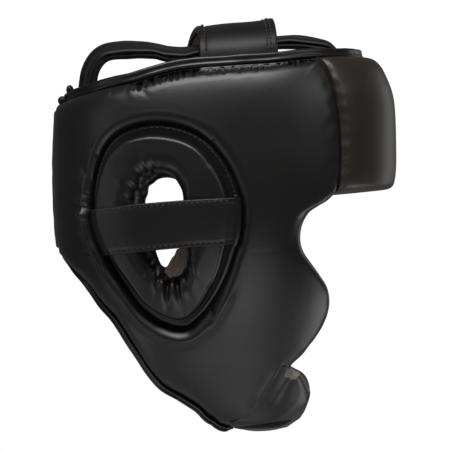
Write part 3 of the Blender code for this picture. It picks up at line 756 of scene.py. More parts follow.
# Suedes: name, darkest and lightest colour.
LINING = suede("suede", (0.045, 0.034, 0.028), (0.10, 0.078, 0.064))
PATCH = suede("suede_edge", (0.06, 0.053, 0.045), (0.19, 0.168, 0.146))
BAND_LINING = suede("band_suede", (0.10, 0.055, 0.045), (0.19, 0.115, 0.098))


def finish_piece(piece, replaced):
    """Name what a piece rides on and hide the solids it stands for."""
    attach(piece, "root")
    if replaced:
        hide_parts(*replaced)


def other_side(name, piece, replaced=()):
    """The same piece on the wearer's other side, finished like its twin."""
    other = mirror(name, piece)
    finish_piece(other, replaced)
    return other


STITCH_LENGTH, STITCH_PAUSE, STITCH_SIDES, STITCH_RINGS = 0.0027, 0.0015, 6, 5
PLAIN_STITCH, THIN_STITCH, CROWN_STITCH, BAND_STITCH = 0.00046, 0.00036, 0.00030, 0.00056


def stitch_row(points, normals, radius):
    """Points and quads of stitches laid along a line on a surface."""
    points, normals = np.asarray(points), np.asarray(normals)
    reach = np.concatenate(([0.0], np.cumsum(np.linalg.norm(np.diff(points, axis=0), axis=1))))
    pitch = STITCH_LENGTH + STITCH_PAUSE
    sides, rings = STITCH_SIDES, STITCH_RINGS
    corner, quads = [], []
    for k in range(int(reach[-1] / pitch)):
        marks = (k + 0.5) * pitch + STITCH_LENGTH * (np.linspace(0, 1, rings) - 0.5)
        spot = np.stack([np.interp(marks, reach, points[:, c]) for c in range(3)], axis=1)
        up = unit(np.stack([np.interp(marks, reach, normals[:, c]) for c in range(3)], axis=1))
        along = unit(np.gradient(spot, axis=0))
        side = unit(np.cross(up, along))
        swell = np.sin(math.pi * np.linspace(0.08, 0.92, rings)) ** 0.5
        first = len(corner) * rings * sides
        angle = 2 * math.pi * np.arange(sides) / sides
        ring = side[:, None] * np.cos(angle)[:, None] + up[:, None] * np.sin(angle)[:, None]
        loop = spot[:, None] + up[:, None] * (radius * 0.35 * swell)[:, None, None]
        loop = loop + ring * (radius * swell)[:, None, None]
        corner.append(loop.reshape(-1, 3))
        quads.append(grid_faces(rings, sides, False, first))
        quads.append(end_faces(rings, sides) + first)
    return corner, quads


def stitches(name, lines, radius=PLAIN_STITCH):
    """One mesh of stitches along several lines of points and normals."""
    corner, quads, first = [], [], 0
    for points, normals in lines:
        more, faces = stitch_row(points, normals, radius)
        corner += more
        quads += [f + first for f in faces]
        first += sum(len(m) for m in more)
    piece = mesh_piece(name, np.concatenate(corner), np.concatenate(quads), (THREAD,))
    finish_piece(piece, ())
    return piece


# Side panels. Steps across a pad: in each rolled edge, and on the flat between.
PANEL_OUTER, PANEL_INNER = (14, 56), (4, 16)


def outline_rays():
    """Turn, height, edge roundings, shoulder and edge number for each ray of the outline."""
    places, rounds, shoulders, kinds = [], [], [], []
    for number, (edge, a, b, c, d, rays, drop, reach) in enumerate(EDGES):
        line = edge_line(edge, rays + 1)[:-1]
        places.append(line)
        rounds.append(np.tile((a, b, c, d), (rays, 1)))
        shoulders.append(np.tile((drop, reach), (rays, 1)))
        kinds.append(np.full(rays, number))
    places, kinds = np.concatenate(places), np.concatenate(kinds)
    rounds = spread(np.concatenate(rounds), 14)
    shoulders = spread(np.concatenate(shoulders), 14)
    return places, rounds, shoulders, kinds


# Relief of a side panel's outer face: metres, degrees about the ear, and the photograph's pixels.
LIP_DIRECTIONS = (150.0, 180.0, 280.0, 320.0)
LIP_CENTRE, LIP_WIDTH, LIP_RISE, LIP_WAVE = 0.0058, 0.0046, 0.0034, 0.22
HOOD_CENTRE, HOOD_WIDTH, HOOD_RISE = 0.0046, 0.0024, 0.0003
STRIP_ACROSS = (122.0, 138.0, 322.0, 336.0)
SHEEN_ACROSS = (194.0, 202.0, 280.0, 292.0)
STRIP_FROM, STRIP_FULL, STRIP_FADE = 0.0004, 0.0018, 0.0024
STRIP_WIDTH, STRIP_WIDTH_WAVE = 0.0066, 0.0012
STRIP_SUNK, STRIP_PUCKER, STRIP_FINE = 0.0040, 0.0013, 0.0006
SHEEN_RAISED, SHEEN_SMOOTHER = 0.0012, 0.0005
SHOULDER_POWER = 1.4
WRINKLE_WIDTH, WRINKLE_START, WRINKLE_DEPTH = 0.011, 0.003, 0.00028
SWELL_DEPTH = 0.00022


def direction_of(turn, height):
    """Direction in degrees of places on the head form, seen from the ear's middle."""
    return np.degrees(np.arctan2(height, (EAR_TURN - turn) * RADIUS))


def panel_relief(shoulders, on_rim):
    """Extra depth over a side panel's outer face."""
    def relief(turn, height, from_hole, from_edge):
        drop, reach = shoulders[:, :1], shoulders[:, 1:]
        depth = drop * np.exp(-(from_edge / reach) ** SHOULDER_POWER)
        base = skin(turn, height, np.zeros(turn.shape))
        px, py = photo_place(base)
        # Raised lip round the rear and lower side of the ear, and a low one over the top.
        direction = direction_of(turn, height) % 360.0
        lip = plateau(direction, LIP_DIRECTIONS)
        wave = 1 + LIP_WAVE * ripple((np.radians(direction),), "lip")
        depth = depth - lip * bell(from_hole, LIP_CENTRE, LIP_WIDTH) * LIP_RISE * wave
        depth = depth - (1 - lip) * bell(from_hole, HOOD_CENTRE, HOOD_WIDTH) * HOOD_RISE
        # Puckered strip between the binding and the swell of the panel, shallower and smoother where the
        # painted sheen lies.
        low_edge = STRIP_WIDTH + STRIP_WIDTH_WAVE * ripple((px,), "strip_edge")
        strip = on_rim[:, None] * plateau(px, STRIP_ACROSS)
        strip = strip * ease((from_edge - STRIP_FROM) / STRIP_FULL)
        strip = strip * (1 - ease((from_edge - low_edge) / STRIP_FADE))
        under_sheen = plateau(px, SHEEN_ACROSS)
        pucker = (STRIP_PUCKER - SHEEN_SMOOTHER * under_sheen) * ripple((px,), "pucker")
        pucker = pucker + STRIP_FINE * ripple((px, py), "fine_pucker")
        depth = depth + strip * (STRIP_SUNK - SHEEN_RAISED * under_sheen + pucker)
        # Light wrinkles where the skin is drawn in at its edges.
        pull = bell(from_edge, 0.0, WRINKLE_WIDTH) * (1 - bell(from_edge, 0.0, WRINKLE_START))
        depth = depth + pull * WRINKLE_DEPTH * ripple((px, py), "panel_wrinkle")
        depth = depth + SWELL_DEPTH * ripple((px, py), "panel_swell")
        depth = depth + creases(base, CREASES)
        return depth
    return relief


places, rounds, shoulders, kinds = outline_rays()
# The rim is the first row of EDGES.
RIM_KIND = 0
on_rim = spread((kinds == RIM_KIND).astype(float), 3)
hole_turn, hole_height = teardrop(direction_of(places[:, 0], places[:, 1]), 1, -CLEARANCE)
hole_rounds = tuple(np.full(len(places), value) for value in EAR_HOLE_ROUND)
panel_loops = pad(
    (hole_turn, hole_height), (places[:, 0], places[:, 1]), wall_at, 0.0,
    hole_rounds, tuple(rounds.T), PANEL_OUTER, PANEL_INNER, panel_relief(shoulders, on_rim),
)
outer_columns = section_columns(*PANEL_OUTER)
columns = panel_loops.shape[1]
panel_picks = np.zeros((len(places), columns), int)
panel_picks[:, outer_columns + 3:columns - 4] = 1
# Painted sheen: lighter grey leather under the rim binding, with a ragged lower edge; painted shade: darker,
# duller leather towards the rear of it.
SHEEN_WIDTH, SHEEN_WIDTH_WAVE = 0.0056, 0.0016
RIM_FINISHES = (
    # material, from pixel, to pixel, from the edge, past the ragged edge
    (2, 199.0, 283.0, 0.0022, 0.0),
    (3, 128.0, 199.0, 0.0012, 0.0008),
)
rim_x, _ = photo_place(panel_loops)
rim_reach = np.linalg.norm(panel_loops - panel_loops[:, outer_columns - 1:outer_columns], axis=-1)
ragged = SHEEN_WIDTH + SHEEN_WIDTH_WAVE * ripple((rim_x,), "sheen_edge")
outside = (np.arange(columns) < outer_columns - 1) & (on_rim[:, None] > 0.5)
for material, from_pixel, to_pixel, edge_gap, further in RIM_FINISHES:
    across_it = (rim_x > from_pixel) & (rim_x < to_pixel)
    panel_picks[outside & across_it & (rim_reach > edge_gap) & (rim_reach < ragged + further)] = material
panel = tube("side_panel_right_leather", panel_loops, True, (BLACK, LINING, SHEEN_STRIP, PAINTED_SHADE_LEATHER),
             panel_picks)
finish_piece(panel, ("side_panel_right",))
other_side("side_panel_left_leather", panel, ("side_panel_left",))


# Ear pads.
EAR_RAYS = 420
RING_OUTER, RING_INNER = (9, 40), (5, 10)
direction = 360.0 * np.arange(EAR_RAYS) / EAR_RAYS
theta = np.radians(direction)
low_fan = bell(direction, 276.0, 21.0)
high_fan = bell(direction, 118.0, 26.0)
CHANNEL_WIDTH = (
    # direction, width in mm
    (0.0, 7.6),
    (60.0, 8.4),
    (95.0, 8.6),
    (125.0, 6.4),
    (150.0, 4.0),
    (180.0, 2.6),
    (215.0, 3.0),
    (240.0, 4.6),
    (270.0, 6.6),
    (310.0, 6.0),
    (360.0, 7.6),
)
RING_RIM_ROUND = (0.34, 0.20, 0.20, 0.30)
LEFT_HOLE = (
    # direction, drawn in by mm
    (0.0, 0.0),
    (60.0, 0.0),
    (110.0, -2.0),
    (140.0, -4.2),
    (170.0, -3.0),
    (205.0, -1.0),
    (225.0, -4.0),
    (240.0, -6.0),
    (252.0, -7.5),
    (258.0, -4.0),
    (265.0, 9.5),
    (275.0, 20.0),
    (290.0, 20.5),
    (301.0, 14.0),
    (316.0, 5.0),
    (335.0, 0.0),
    (360.0, 0.0),
)
RIGHT_HOLE = (
    # direction, drawn in by mm
    (0.0, 0.5),
    (25.0, 1.5),
    (48.0, 3.0),
    (68.0, 2.4),
    (90.0, 0.0),
    (200.0, 0.0),
    (228.0, -1.6),
    (250.0, -0.8),
    (265.0, 0.0),
    (285.0, 1.4),
    (300.0, 2.0),
    (310.0, 2.0),
    (330.0, 1.0),
    (360.0, 0.5),
)


def gathers(angle, fan, name):
    """Folds that run out from the ear pad's hole: narrow valleys between round ridges."""
    folds = ripple((angle,), name)
    return fan * np.where(folds > 0, folds ** 1.6, 0.45 * folds)


# Gathers and the sewn joint on the ear pads, in metres and the photograph's pixels.
LOW_FOLD_DEPTH, LOW_FOLD_REACH, LOW_FOLD_POWER = 0.0022, 0.0105, 1.8
HIGH_FOLD_DEPTH, HIGH_FOLD_REACH, HIGH_FOLD_POWER = 0.0009, 0.0075, 1.6
LOW_JAGS, HIGH_JAGS = 0.0009, 0.0017
JOINT_X, JOINT_Y, JOINT_SLANT, JOINT_WIDTH, JOINT_DEPTH = 177.5, 282.5, 0.19, 0.9, 0.0013
JOINT_TOP, JOINT_FADE = 278.0, 5.0
fold_low = gathers(theta, low_fan, "low_gathers")
fold_high = gathers(theta, high_fan, "high_gathers")
hole_edge = LOW_JAGS * low_fan * ripple((theta,), "low_hole_edge")
hole_edge = hole_edge + HIGH_JAGS * high_fan * ripple((theta,), "high_hole_edge")
channel = smooth(CHANNEL_WIDTH, direction, 1) * MM


def ear_relief(turn, height, from_hole, from_edge):
    """Extra depth over an ear pad's outer face."""
    near = np.exp(-(from_hole / LOW_FOLD_REACH) ** LOW_FOLD_POWER)
    above = np.exp(-(from_hole / HIGH_FOLD_REACH) ** HIGH_FOLD_POWER)
    depth = (LOW_FOLD_DEPTH * fold_low)[:, None] * near + (HIGH_FOLD_DEPTH * fold_high)[:, None] * above
    px, py = photo_place(skin(turn, height, np.zeros(turn.shape)))
    # Sewn joint down from the hole.
    joint = bell(px, JOINT_X + (py - JOINT_Y) * JOINT_SLANT, JOINT_WIDTH)
    joint = joint * ease((py - JOINT_TOP) / JOINT_FADE)
    depth = depth + JOINT_DEPTH * joint
    depth = depth + SWELL_DEPTH * ripple((px, py), "ear_pad")
    return depth


def ear_ring(name, tightened, lining_from):
    """A puffy ring whose hole is drawn in by some metres in each direction.

    lining_from gives for each direction the column of the inner face up to which it is lined.
    """
    start = teardrop(direction, 2, tightened)
    end = teardrop(direction, 1, channel)
    hole_round, rim_round = (tuple(np.full(EAR_RAYS, v) for v in row)
                             for row in (EAR_PAD_HOLE_ROUND, RING_RIM_ROUND))
    loops = pad(start, end, lambda turn, height: np.full(np.shape(turn), EAR_PAD_WALL),
                -EAR_PAD_PROUD, hole_round, rim_round, RING_OUTER, RING_INNER, ear_relief)
    outer = section_columns(*RING_OUTER)
    column = np.arange(loops.shape[1])[None, :]
    picks = ((column >= outer + 2) & (column < lining_from[:, None])).astype(int)
    return tube(name, loops, True, (BLACK, LINING), picks)


RING_COLUMNS = section_columns(*RING_OUTER) + section_columns(*RING_INNER)
plain_lining = np.full(EAR_RAYS, RING_COLUMNS - 8)
drawn_in = hole_edge + smooth(RIGHT_HOLE, direction, 1) * MM
ring = ear_ring("ear_pad_right_leather", drawn_in, plain_lining)
finish_piece(ring, ("ear_pad_right",))
turned_out = np.where((direction > 256.0) & (direction < 338.0), RING_COLUMNS - 1, plain_lining)
drawn_in = 0.6 * np.roll(hole_edge, 9) + smooth(LEFT_HOLE, direction, 1) * MM
model = ear_ring("ear_pad_left_model", drawn_in, turned_out)
other_side("ear_pad_left_leather", model, ("ear_pad_left",))
bpy.data.objects.remove(model)

# Flat welt with stitches on the floor of the channel round each ear pad.
WELT_DEPTH, WELT_THICKNESS, WELT_TUCK = 0.0072, 0.0012, 0.0028
WELT_SECTION = (
    # share across, lift in mm
    (0.0, -0.6),
    (0.2, 0.0),
    (0.38, 0.1),
    (0.5, 0.7),
    (0.62, 0.8),
    (0.74, 0.1),
    (0.88, 0.0),
    (1.0, -0.6),
)


def welt_place(around, share, lift):
    """Points on the channel's floor, from the ear pad to the side panel, and normals there."""
    width = smooth(CHANNEL_WIDTH, around, 1) * MM
    turn, height = teardrop(around, 1, width + WELT_TUCK - (width + 2 * WELT_TUCK) * share)
    return skin(turn, height, np.full(np.shape(turn), WELT_DEPTH) - lift), outward(turn, height)


welt_loops = [welt_place(direction, share, lift * MM)[0] for share, lift in WELT_SECTION]
welt_loops += [welt_place(direction, share, lift * MM - WELT_THICKNESS)[0]
               for share, lift in reversed(WELT_SECTION)]
welt = tube("ear_welt_right", np.stack(welt_loops, axis=1), True, (EDGING,))
finish_piece(welt, ())
other_side("ear_welt_left", welt)
WELT_STITCHES_FROM, WELT_STITCHES_TO, WELT_STITCHES_SHARE, WELT_STITCHES_LIFT = -75.0, 150.0, 0.56, 0.0008
welt_sweep = np.linspace(WELT_STITCHES_FROM, WELT_STITCHES_TO, 300)
welt_line = welt_place(welt_sweep, WELT_STITCHES_SHARE, WELT_STITCHES_LIFT)
welt_stitches = stitches("ear_welt_right_stitches", [welt_line], THIN_STITCH)
other_side("ear_welt_left_stitches", welt_stitches)


# Ear straps.
def strap_end(height, front):
    """The turn at which a level line through the ear pad meets its edge."""
    sweep = np.arange(-90.0, 90.0, 0.5) if front else np.arange(90.0, 270.0, 0.5)
    turn, level = teardrop(sweep, 1, CLEARANCE)
    order = np.argsort(level)
    return np.interp(height, level[order], turn[order])


def strap_surface(share, offset, lift):
    """Points of the ear strap: share from rear to front, offset up from its middle, lift."""
    share, offset = np.broadcast_arrays(np.asarray(share, float), np.asarray(offset, float))
    rear = EAR_STRAP_REAR * EAR_PAD_REACH + offset
    front = EAR_STRAP_FRONT * EAR_PAD_REACH + offset
    rear_turn, front_turn = strap_end(rear, False), strap_end(front, True)
    turn = rear_turn + (front_turn - rear_turn) * share
    height = rear + (front - rear) * share
    length = np.abs(front_turn - rear_turn) * RADIUS
    distance = np.minimum(share, 1 - share) * length / EAR_PAD_WALL
    depth = smooth(EAR_STRAP_DIP, distance, 1) * EAR_PAD_WALL
    return skin(turn, height, depth - lift), outward(turn, height)


STRAP_STEPS, STRAP_ROUND, STRAP_FLAT = 90, 5, 24
STRAP_SEAM, STRAP_SEAM_WIDTH, STRAP_SEAM_DEPTH = 0.0024, 0.0006, 0.00045
STRAP_EDGE, STRAP_EDGE_WIDTH, STRAP_EDGE_RISE = 0.0008, 0.0010, 0.0004
STRAP_BOW = 0.0003
TAB_STEPS, TAB_LIFT, TAB_HALF_THICKNESS = 12, 0.0024, 0.0013
strap_half = EAR_STRAP_HEIGHT / 2
even = np.linspace(0, 1, STRAP_STEPS + 1)
share = (0.5 - 0.5 * np.cos(math.pi * even) + even) / 2
roll_angle = np.linspace(-math.pi / 2, math.pi / 2, 2 * STRAP_ROUND + 1)
roll_half = STRAP_THICKNESS / 2
flat_offsets = np.linspace(-strap_half + roll_half, strap_half - roll_half, STRAP_FLAT + 2)[1:-1]
rounded = strap_half - roll_half + roll_half * np.cos(roll_angle)
offsets = np.concatenate((flat_offsets, rounded, flat_offsets[::-1], -rounded))
rise = roll_half * np.sin(roll_angle)
lifts = np.concatenate((np.zeros(STRAP_FLAT), roll_half + rise,
                        np.full(STRAP_FLAT, STRAP_THICKNESS), roll_half - rise))
upper = lifts > roll_half
groove = bell(np.abs(offsets), strap_half - STRAP_SEAM, STRAP_SEAM_WIDTH)
rolled = bell(np.abs(offsets), strap_half - STRAP_EDGE, STRAP_EDGE_WIDTH)
lifts = lifts + np.where(upper, -STRAP_SEAM_DEPTH * groove + STRAP_EDGE_RISE * rolled, 0.0)
bow = STRAP_BOW * np.abs(np.sin(share * 9.0 + 1.0)[:, None] * (offsets / strap_half)[None, :])
strap_points, _ = strap_surface(share[:, None], offsets[None, :],
                                lifts[None, :] + np.where(upper, 1.0, 0.3)[None, :] * bow)
strap = tube("ear_strap_right_leather", strap_points, False, (BLACK,))
finish_piece(strap, ("ear_strap_right",))
other_side("ear_strap_left_leather", strap, ("ear_strap_left",))
stitch_share = np.linspace(0.05, 0.95, 120)
strap_lines = []
for side in (-1, 1):
    seam_at = side * (strap_half - STRAP_SEAM)
    strap_lines.append(strap_surface(stitch_share, seam_at, STRAP_THICKNESS - STRAP_EDGE_RISE))
strap_stitches = stitches("ear_strap_right_stitches", strap_lines)
tab_offsets = np.linspace(-strap_half - 0.002, strap_half + 0.0015, 50)
tab_loops = []
for k in range(TAB_STEPS):
    turning = 2 * math.pi * k / TAB_STEPS
    tab_share = 0.98 - 0.016 * math.cos(turning)
    spots, _ = strap_surface(tab_share, tab_offsets, TAB_LIFT + TAB_HALF_THICKNESS * math.sin(turning))
    tab_loops.append(spots)
tab = tube("ear_strap_right_tab", np.stack(tab_loops, axis=1), False, (EDGING,))
finish_piece(tab, ())
other_side("ear_strap_left_tab", tab)
other_side("ear_strap_left_stitches", strap_stitches)


# Forehead pad: fuller at its crest and below it, drawn in at the hem and beside the seams.
BROW_CREST, BROW_CREST_REACH = 0.0004, 0.011
BROW_HEM, BROW_HEM_REACH = 0.0012, 0.007
BROW_FULL, BROW_FULL_HEIGHT, BROW_FULL_SPREAD = 0.0010, 0.102, 0.016
BROW_WAVE, BROW_PULL, BROW_PULL_REACH = 0.00012, 0.0003, 0.008
SEAM_ROLL, SEAM_ROLL_REACH, SEAM_SINK, SEAM_SINK_REACH = 0.003, 0.006, 0.0011, 0.010
seam_line = edge_line(SEAM_EDGE, 9)
seam_order = np.argsort(seam_line[:, 1])


def seam_turn(height):
    """Turn of the forehead seam at a height."""
    return np.interp(height, seam_line[seam_order, 1], seam_line[seam_order, 0])


BROW_OUTER, BROW_INNER = (9, 44), (5, 14)
across = np.sin(np.linspace(-1, 1, 241) * math.pi / 2)
across = (across + np.linspace(-1, 1, 241)) / 2
hem = height_of(FOREHEAD_HEM + (SEAM_EDGE[-1][1] - FOREHEAD_HEM) * across ** 2)
crest = height_of(smooth(BROW_RIM, across * BROW_RIM[-1][0], 1))
from_seam = (1 - np.abs(across)) * seam_turn(hem) * RADIUS
seam_gap = 2 * CLEARANCE / RADIUS
side_dip = SEAM_ROLL * (1 - np.sqrt(np.clip(1 - np.clip(1 - from_seam / SEAM_ROLL_REACH, 0, 1) ** 2, 0, 1)))
side_dip_outer = side_dip + SEAM_SINK * np.exp(-(from_seam / SEAM_SINK_REACH) ** 1.5)
brow_faces = []
full = np.full(len(across), FOREHEAD_WALL)
for kind, rolls, flats in (("outer", *BROW_OUTER), ("inner", *BROW_INNER)):
    pick = 0 if kind == "outer" else 2
    near = tuple(np.full(len(across), v) for v in FOREHEAD_HEM_ROUND[pick:pick + 2])
    far = tuple(np.full(len(across), v) for v in FOREHEAD_CREST_ROUND[pick:pick + 2])
    distance, drop = section(crest - hem, full, near, far, rolls, flats)
    height = hem[:, None] + distance
    turn = across[:, None] * (seam_turn(height) - seam_gap)
    if kind == "outer":
        to_crest = (crest - hem)[:, None] - distance
        extra = drop + side_dip_outer[:, None]
        extra = extra - BROW_CREST * np.exp(-(to_crest / BROW_CREST_REACH) ** 1.5)
        extra = extra + BROW_HEM * np.exp(-(distance / BROW_HEM_REACH) ** 1.5)
        extra = extra - BROW_FULL * bell(height, BROW_FULL_HEIGHT, BROW_FULL_SPREAD)
        extra = extra + BROW_WAVE * ripple((turn * 9.0, height * 90.0), "forehead")
        pull = bell(from_seam, 0.0, BROW_PULL_REACH)[:, None] * ripple((height * 1000.0,), "forehead_seam")
        brow_faces.append(skin(turn, height, extra + BROW_PULL * pull))
    else:
        brow_faces.append(skin(turn, height, FOREHEAD_WALL - drop - side_dip[:, None])[:, ::-1])
brow_loops = np.concatenate(brow_faces, axis=1)
brow_outer = section_columns(*BROW_OUTER)
brow_columns = brow_loops.shape[1]
brow_picks = np.zeros(brow_columns, int)
brow_picks[brow_outer + 3:brow_columns - 3] = 1
brow = tube("forehead_pad_leather", brow_loops, False, (BROWN, LINING), brow_picks)
finish_piece(brow, ("forehead_pad",))

# Stitches along the seam between forehead pad and side panel.
SEAM_STITCHES_TOP, SEAM_STITCHES_FOOT, SEAM_STITCHES_INSET, SEAM_STITCHES_DEPTH = 0.93, 0.21, 0.0030, 0.0018
seam_heights = np.linspace(float(height_of(SEAM_STITCHES_TOP)), float(height_of(SEAM_STITCHES_FOOT)), 200)
seam_depths = np.full(len(seam_heights), SEAM_STITCHES_DEPTH)
seam_lines = []
for way in (-1, 1):
    turn = way * (seam_turn(seam_heights) - SEAM_STITCHES_INSET / RADIUS)
    seam_lines.append((skin(turn, seam_heights, seam_depths), outward(turn, seam_heights)))
stitches("forehead_seam_stitches", seam_lines, THIN_STITCH)

# Rear closure, a little hollow between its sides.
CLOSURE_INSET, CLOSURE_PILLOW, CLOSURE_WAVE = 0.004, 0.0012, 0.0002
nape_rows = sorted((float(height_of(up)), math.radians(turn)) for turn, up in NAPE_EDGE)
closure_margin = (NAPE_BINDING_HEIGHT + 5 * CLEARANCE) / RADIUS
low, high = nape_rows[0][0] + CLOSURE_INSET, nape_rows[-1][0] - CLOSURE_INSET
across = np.linspace(-1, 1, 61)
CLOSURE_OUTER, CLOSURE_INNER = (4, 40), (4, 10)
closure_faces = []
for kind, rolls, flats in (("outer", *CLOSURE_OUTER), ("inner", *CLOSURE_INNER)):
    even = tuple(np.full(len(across), v) for v in CLOSURE_ROUND[:2])
    distance, drop = section(np.full(len(across), high - low), np.full(len(across), CLOSURE_WALL),
                             even, even, rolls, flats)
    height = low + distance
    half = math.pi - smooth(nape_rows, height, 1) - closure_margin
    turn = math.pi + across[:, None] * half
    if kind == "outer":
        pillow = CLOSURE_PILLOW * (np.abs(across)[:, None] ** 6)
        pillow = pillow + CLOSURE_WAVE * ripple((turn * 60, height * 300), "closure")
        closure_faces.append(skin(turn, height, CLOSURE_DEPTH + drop + pillow))
    else:
        closure_faces.append(skin(turn, height, CLOSURE_DEPTH + CLOSURE_WALL - drop)[:, ::-1])
closure_loops = np.concatenate(closure_faces, axis=1)
closure_columns = closure_loops.shape[1]
closure_picks = np.zeros(closure_columns, int)
closure_picks[section_columns(*CLOSURE_OUTER) + 2:closure_columns - 3] = 1
closure = tube("rear_closure_leather", closure_loops, False, (BLACK, LINING), closure_picks)
finish_piece(closure, ("rear_closure",))


# Bindings: a thin bead with a groove on each side of it, angles in radians about the section.
BEAD_RISE, BEAD_WIDTH = 0.16, 0.30
BEAD_GROOVE, BEAD_GROOVE_AT, BEAD_GROOVE_WIDTH = 0.20, 0.62, 0.20
BINDING_SQUARENESS, BINDING_WAVE = 0.75, 0.035


def beside(line, distance):
    """A line moved sideways on the head form."""
    run = np.gradient(line, axis=0) * np.array((RADIUS, 1.0))
    run = unit(run)
    return np.stack((line[:, 0] + run[:, 1] * distance / RADIUS, line[:, 1] - run[:, 0] * distance), axis=1)


def binding_loops(line, depth, tall, thick, sides, name, bead_angle):
    """Sections of a rolled edge with a thin bead along one side."""
    turn, height = line[:, 0], line[:, 1]
    centre = skin(turn, height, np.full(len(turn), depth))
    along = unit(np.gradient(centre, axis=0))
    normal = outward(turn, height)
    side_way = unit(np.cross(normal, along))
    normal = np.cross(along, side_way)
    angle = 2 * math.pi * (np.arange(sides) + 0.5) / sides
    away = np.abs((angle - bead_angle + math.pi) % (2 * math.pi) - math.pi)
    shape = 1 + BEAD_RISE * bell(away, 0.0, BEAD_WIDTH)
    shape = shape - BEAD_GROOVE * bell(away, BEAD_GROOVE_AT, BEAD_GROOVE_WIDTH)
    mark = np.arange(len(turn))[:, None] * 0.12
    shape = shape[None, :] + BINDING_WAVE * ripple((mark, angle[None, :]), name)
    side = signed_power(np.cos(angle), BINDING_SQUARENESS) * (tall / 2)[:, None] * shape
    lift = signed_power(np.sin(angle), BINDING_SQUARENESS) * thick / 2 * shape
    return centre[:, None] + side_way[:, None] * side[..., None] + normal[:, None] * lift[..., None]


right = edge_line(RIM_EDGE, 241)[:-1]
brow_line = edge_line(tuple(reversed(BROW_RIM)), 241)
left = np.stack((-right[::-1, 0], right[::-1, 1]), axis=1)
whole = np.concatenate((right, brow_line, left))
for _ in range(6):
    whole[1:-1] = (whole[:-2] + whole[1:-1] + whole[2:]) / 3
line = beside(whole, RIM_BINDING_HEIGHT / 2 + CLEARANCE)
rim_loops = binding_loops(line, RIM_BINDING_DEPTH, np.full(len(line), RIM_BINDING_HEIGHT),
                          RIM_BINDING_THICKNESS, 30, "rim_binding", 1.15)
rim = tube("rim_binding_leather", rim_loops, False, (EDGING,))
finish_piece(rim, ("rim_binding",))

# Folded ends of the bindings, at the rear end of the rim and the top of the nape.
KNOBS = (
    # aside, back, up, radius, height to width
    (0.0370, 0.1180, -0.0336, 0.0029, 1.35),
    (0.0362, 0.1236, -0.0416, 0.0034, 1.05),
    (0.0352, 0.1248, -0.0472, 0.0024, 1.30),
)
KNOB_RINGS = 13
KNOB_SIDES = 16


def knobs(name, way):
    """Small lumps of folded leather."""
    fall = np.linspace(0.03, math.pi - 0.03, KNOB_RINGS)
    around = 2 * math.pi * np.arange(KNOB_SIDES) / KNOB_SIDES
    corner, quads = [], []
    for k, (aside_at, back, up, radius, stretch) in enumerate(KNOBS):
        lump = 1 + 0.10 * np.sin(3 * around + k)[None, :] * np.sin(fall)[:, None]
        x = np.sin(fall)[:, None] * np.cos(around)[None, :] * lump
        y = np.sin(fall)[:, None] * np.sin(around)[None, :] * lump
        z = np.repeat(np.cos(fall)[:, None], KNOB_SIDES, axis=1) * stretch
        loops = np.array((-way * aside_at, back, up)) + radius * np.stack((x, y, z), axis=-1)
        first = k * KNOB_RINGS * KNOB_SIDES
        quads.append(grid_faces(KNOB_RINGS, KNOB_SIDES, False, first))
        quads.append(end_faces(KNOB_RINGS, KNOB_SIDES) + first)
        corner.append(loops.reshape(-1, 3))
    piece = mesh_piece(name, np.concatenate(corner), np.concatenate(quads), (BAND,))
    finish_piece(piece, ())


knobs("binding_ends_right", 1)
knobs("binding_ends_left", -1)

# Shares of the neck binding's length: where it grows to full height, and where it tapers.
NECK_GROWS_FROM, NECK_GROWS_OVER = 0.28, 0.2
NECK_TAPERS_FROM, NECK_TAPERS_OVER, NECK_TAPERS_BY = 0.970, 0.030, 0.80
whole = np.concatenate((edge_line(NECK_EDGE, 241)[:-1], edge_line(NAPE_EDGE, 121)[:-5]))[::-1]
neck_share = np.linspace(0, 1, len(whole))
growth = ease((neck_share - NECK_GROWS_FROM) / NECK_GROWS_OVER)
tall = NAPE_BINDING_HEIGHT + (NECK_BINDING_HEIGHT - NAPE_BINDING_HEIGHT) * growth
line = beside(whole, -tall / 2 - 2 * CLEARANCE)
neck_loops = binding_loops(line, NECK_BINDING_DEPTH, tall, NECK_BINDING_THICKNESS, 26,
                           "neck_binding", 1.9)
# Its lower end tapers into the underside of the chin cup.
slim = 1 - NECK_TAPERS_BY * ease((neck_share - NECK_TAPERS_FROM) / NECK_TAPERS_OVER)
middle = neck_loops.mean(axis=1, keepdims=True)
neck_loops = middle + (neck_loops - middle) * slim[:, None, None]
neck = tube("neck_binding_right_leather", neck_loops, False, (EDGING,))
finish_piece(neck, ("neck_binding_right",))
other_side("neck_binding_left_leather", neck, ("neck_binding_left",))


# Chin cup.
def chin_section(across):
    """Middle line of the chin cup's section and its normals towards the chin."""
    rows = [(-forward * FRONT_REACH, float(height_of(up)) - CROWN_RISE) for forward, up in CHIN_PATH]
    line = trace(rows, 97)
    line = line + np.array((CHIN_SWEEP_BACK, CHIN_SWEEP_UP)) * across ** 2
    along = unit(np.gradient(line, axis=0))
    return line, np.stack((-along[:, 1], along[:, 0]), axis=1)


def chin_points(across, along, offset):
    """Points of the chin cup at shares along its section, offset inwards."""
    line, normals = chin_section(across)
    marks = np.linspace(0.0, 1.0, len(line))
    spot = np.stack([np.interp(along, marks, line[:, c]) for c in (0, 1)], axis=1)
    way = np.stack([np.interp(along, marks, normals[:, c]) for c in (0, 1)], axis=1)
    spot = spot + way * np.asarray(offset)[:, None]
    narrowing = (CHIN_PAD_HALF_WIDTH - CHIN_PAD_REAR_HALF_WIDTH) * ease(along * 1.6)
    return np.stack((across * (CHIN_PAD_HALF_WIDTH - narrowing), spot[:, 0], spot[:, 1]), axis=1)


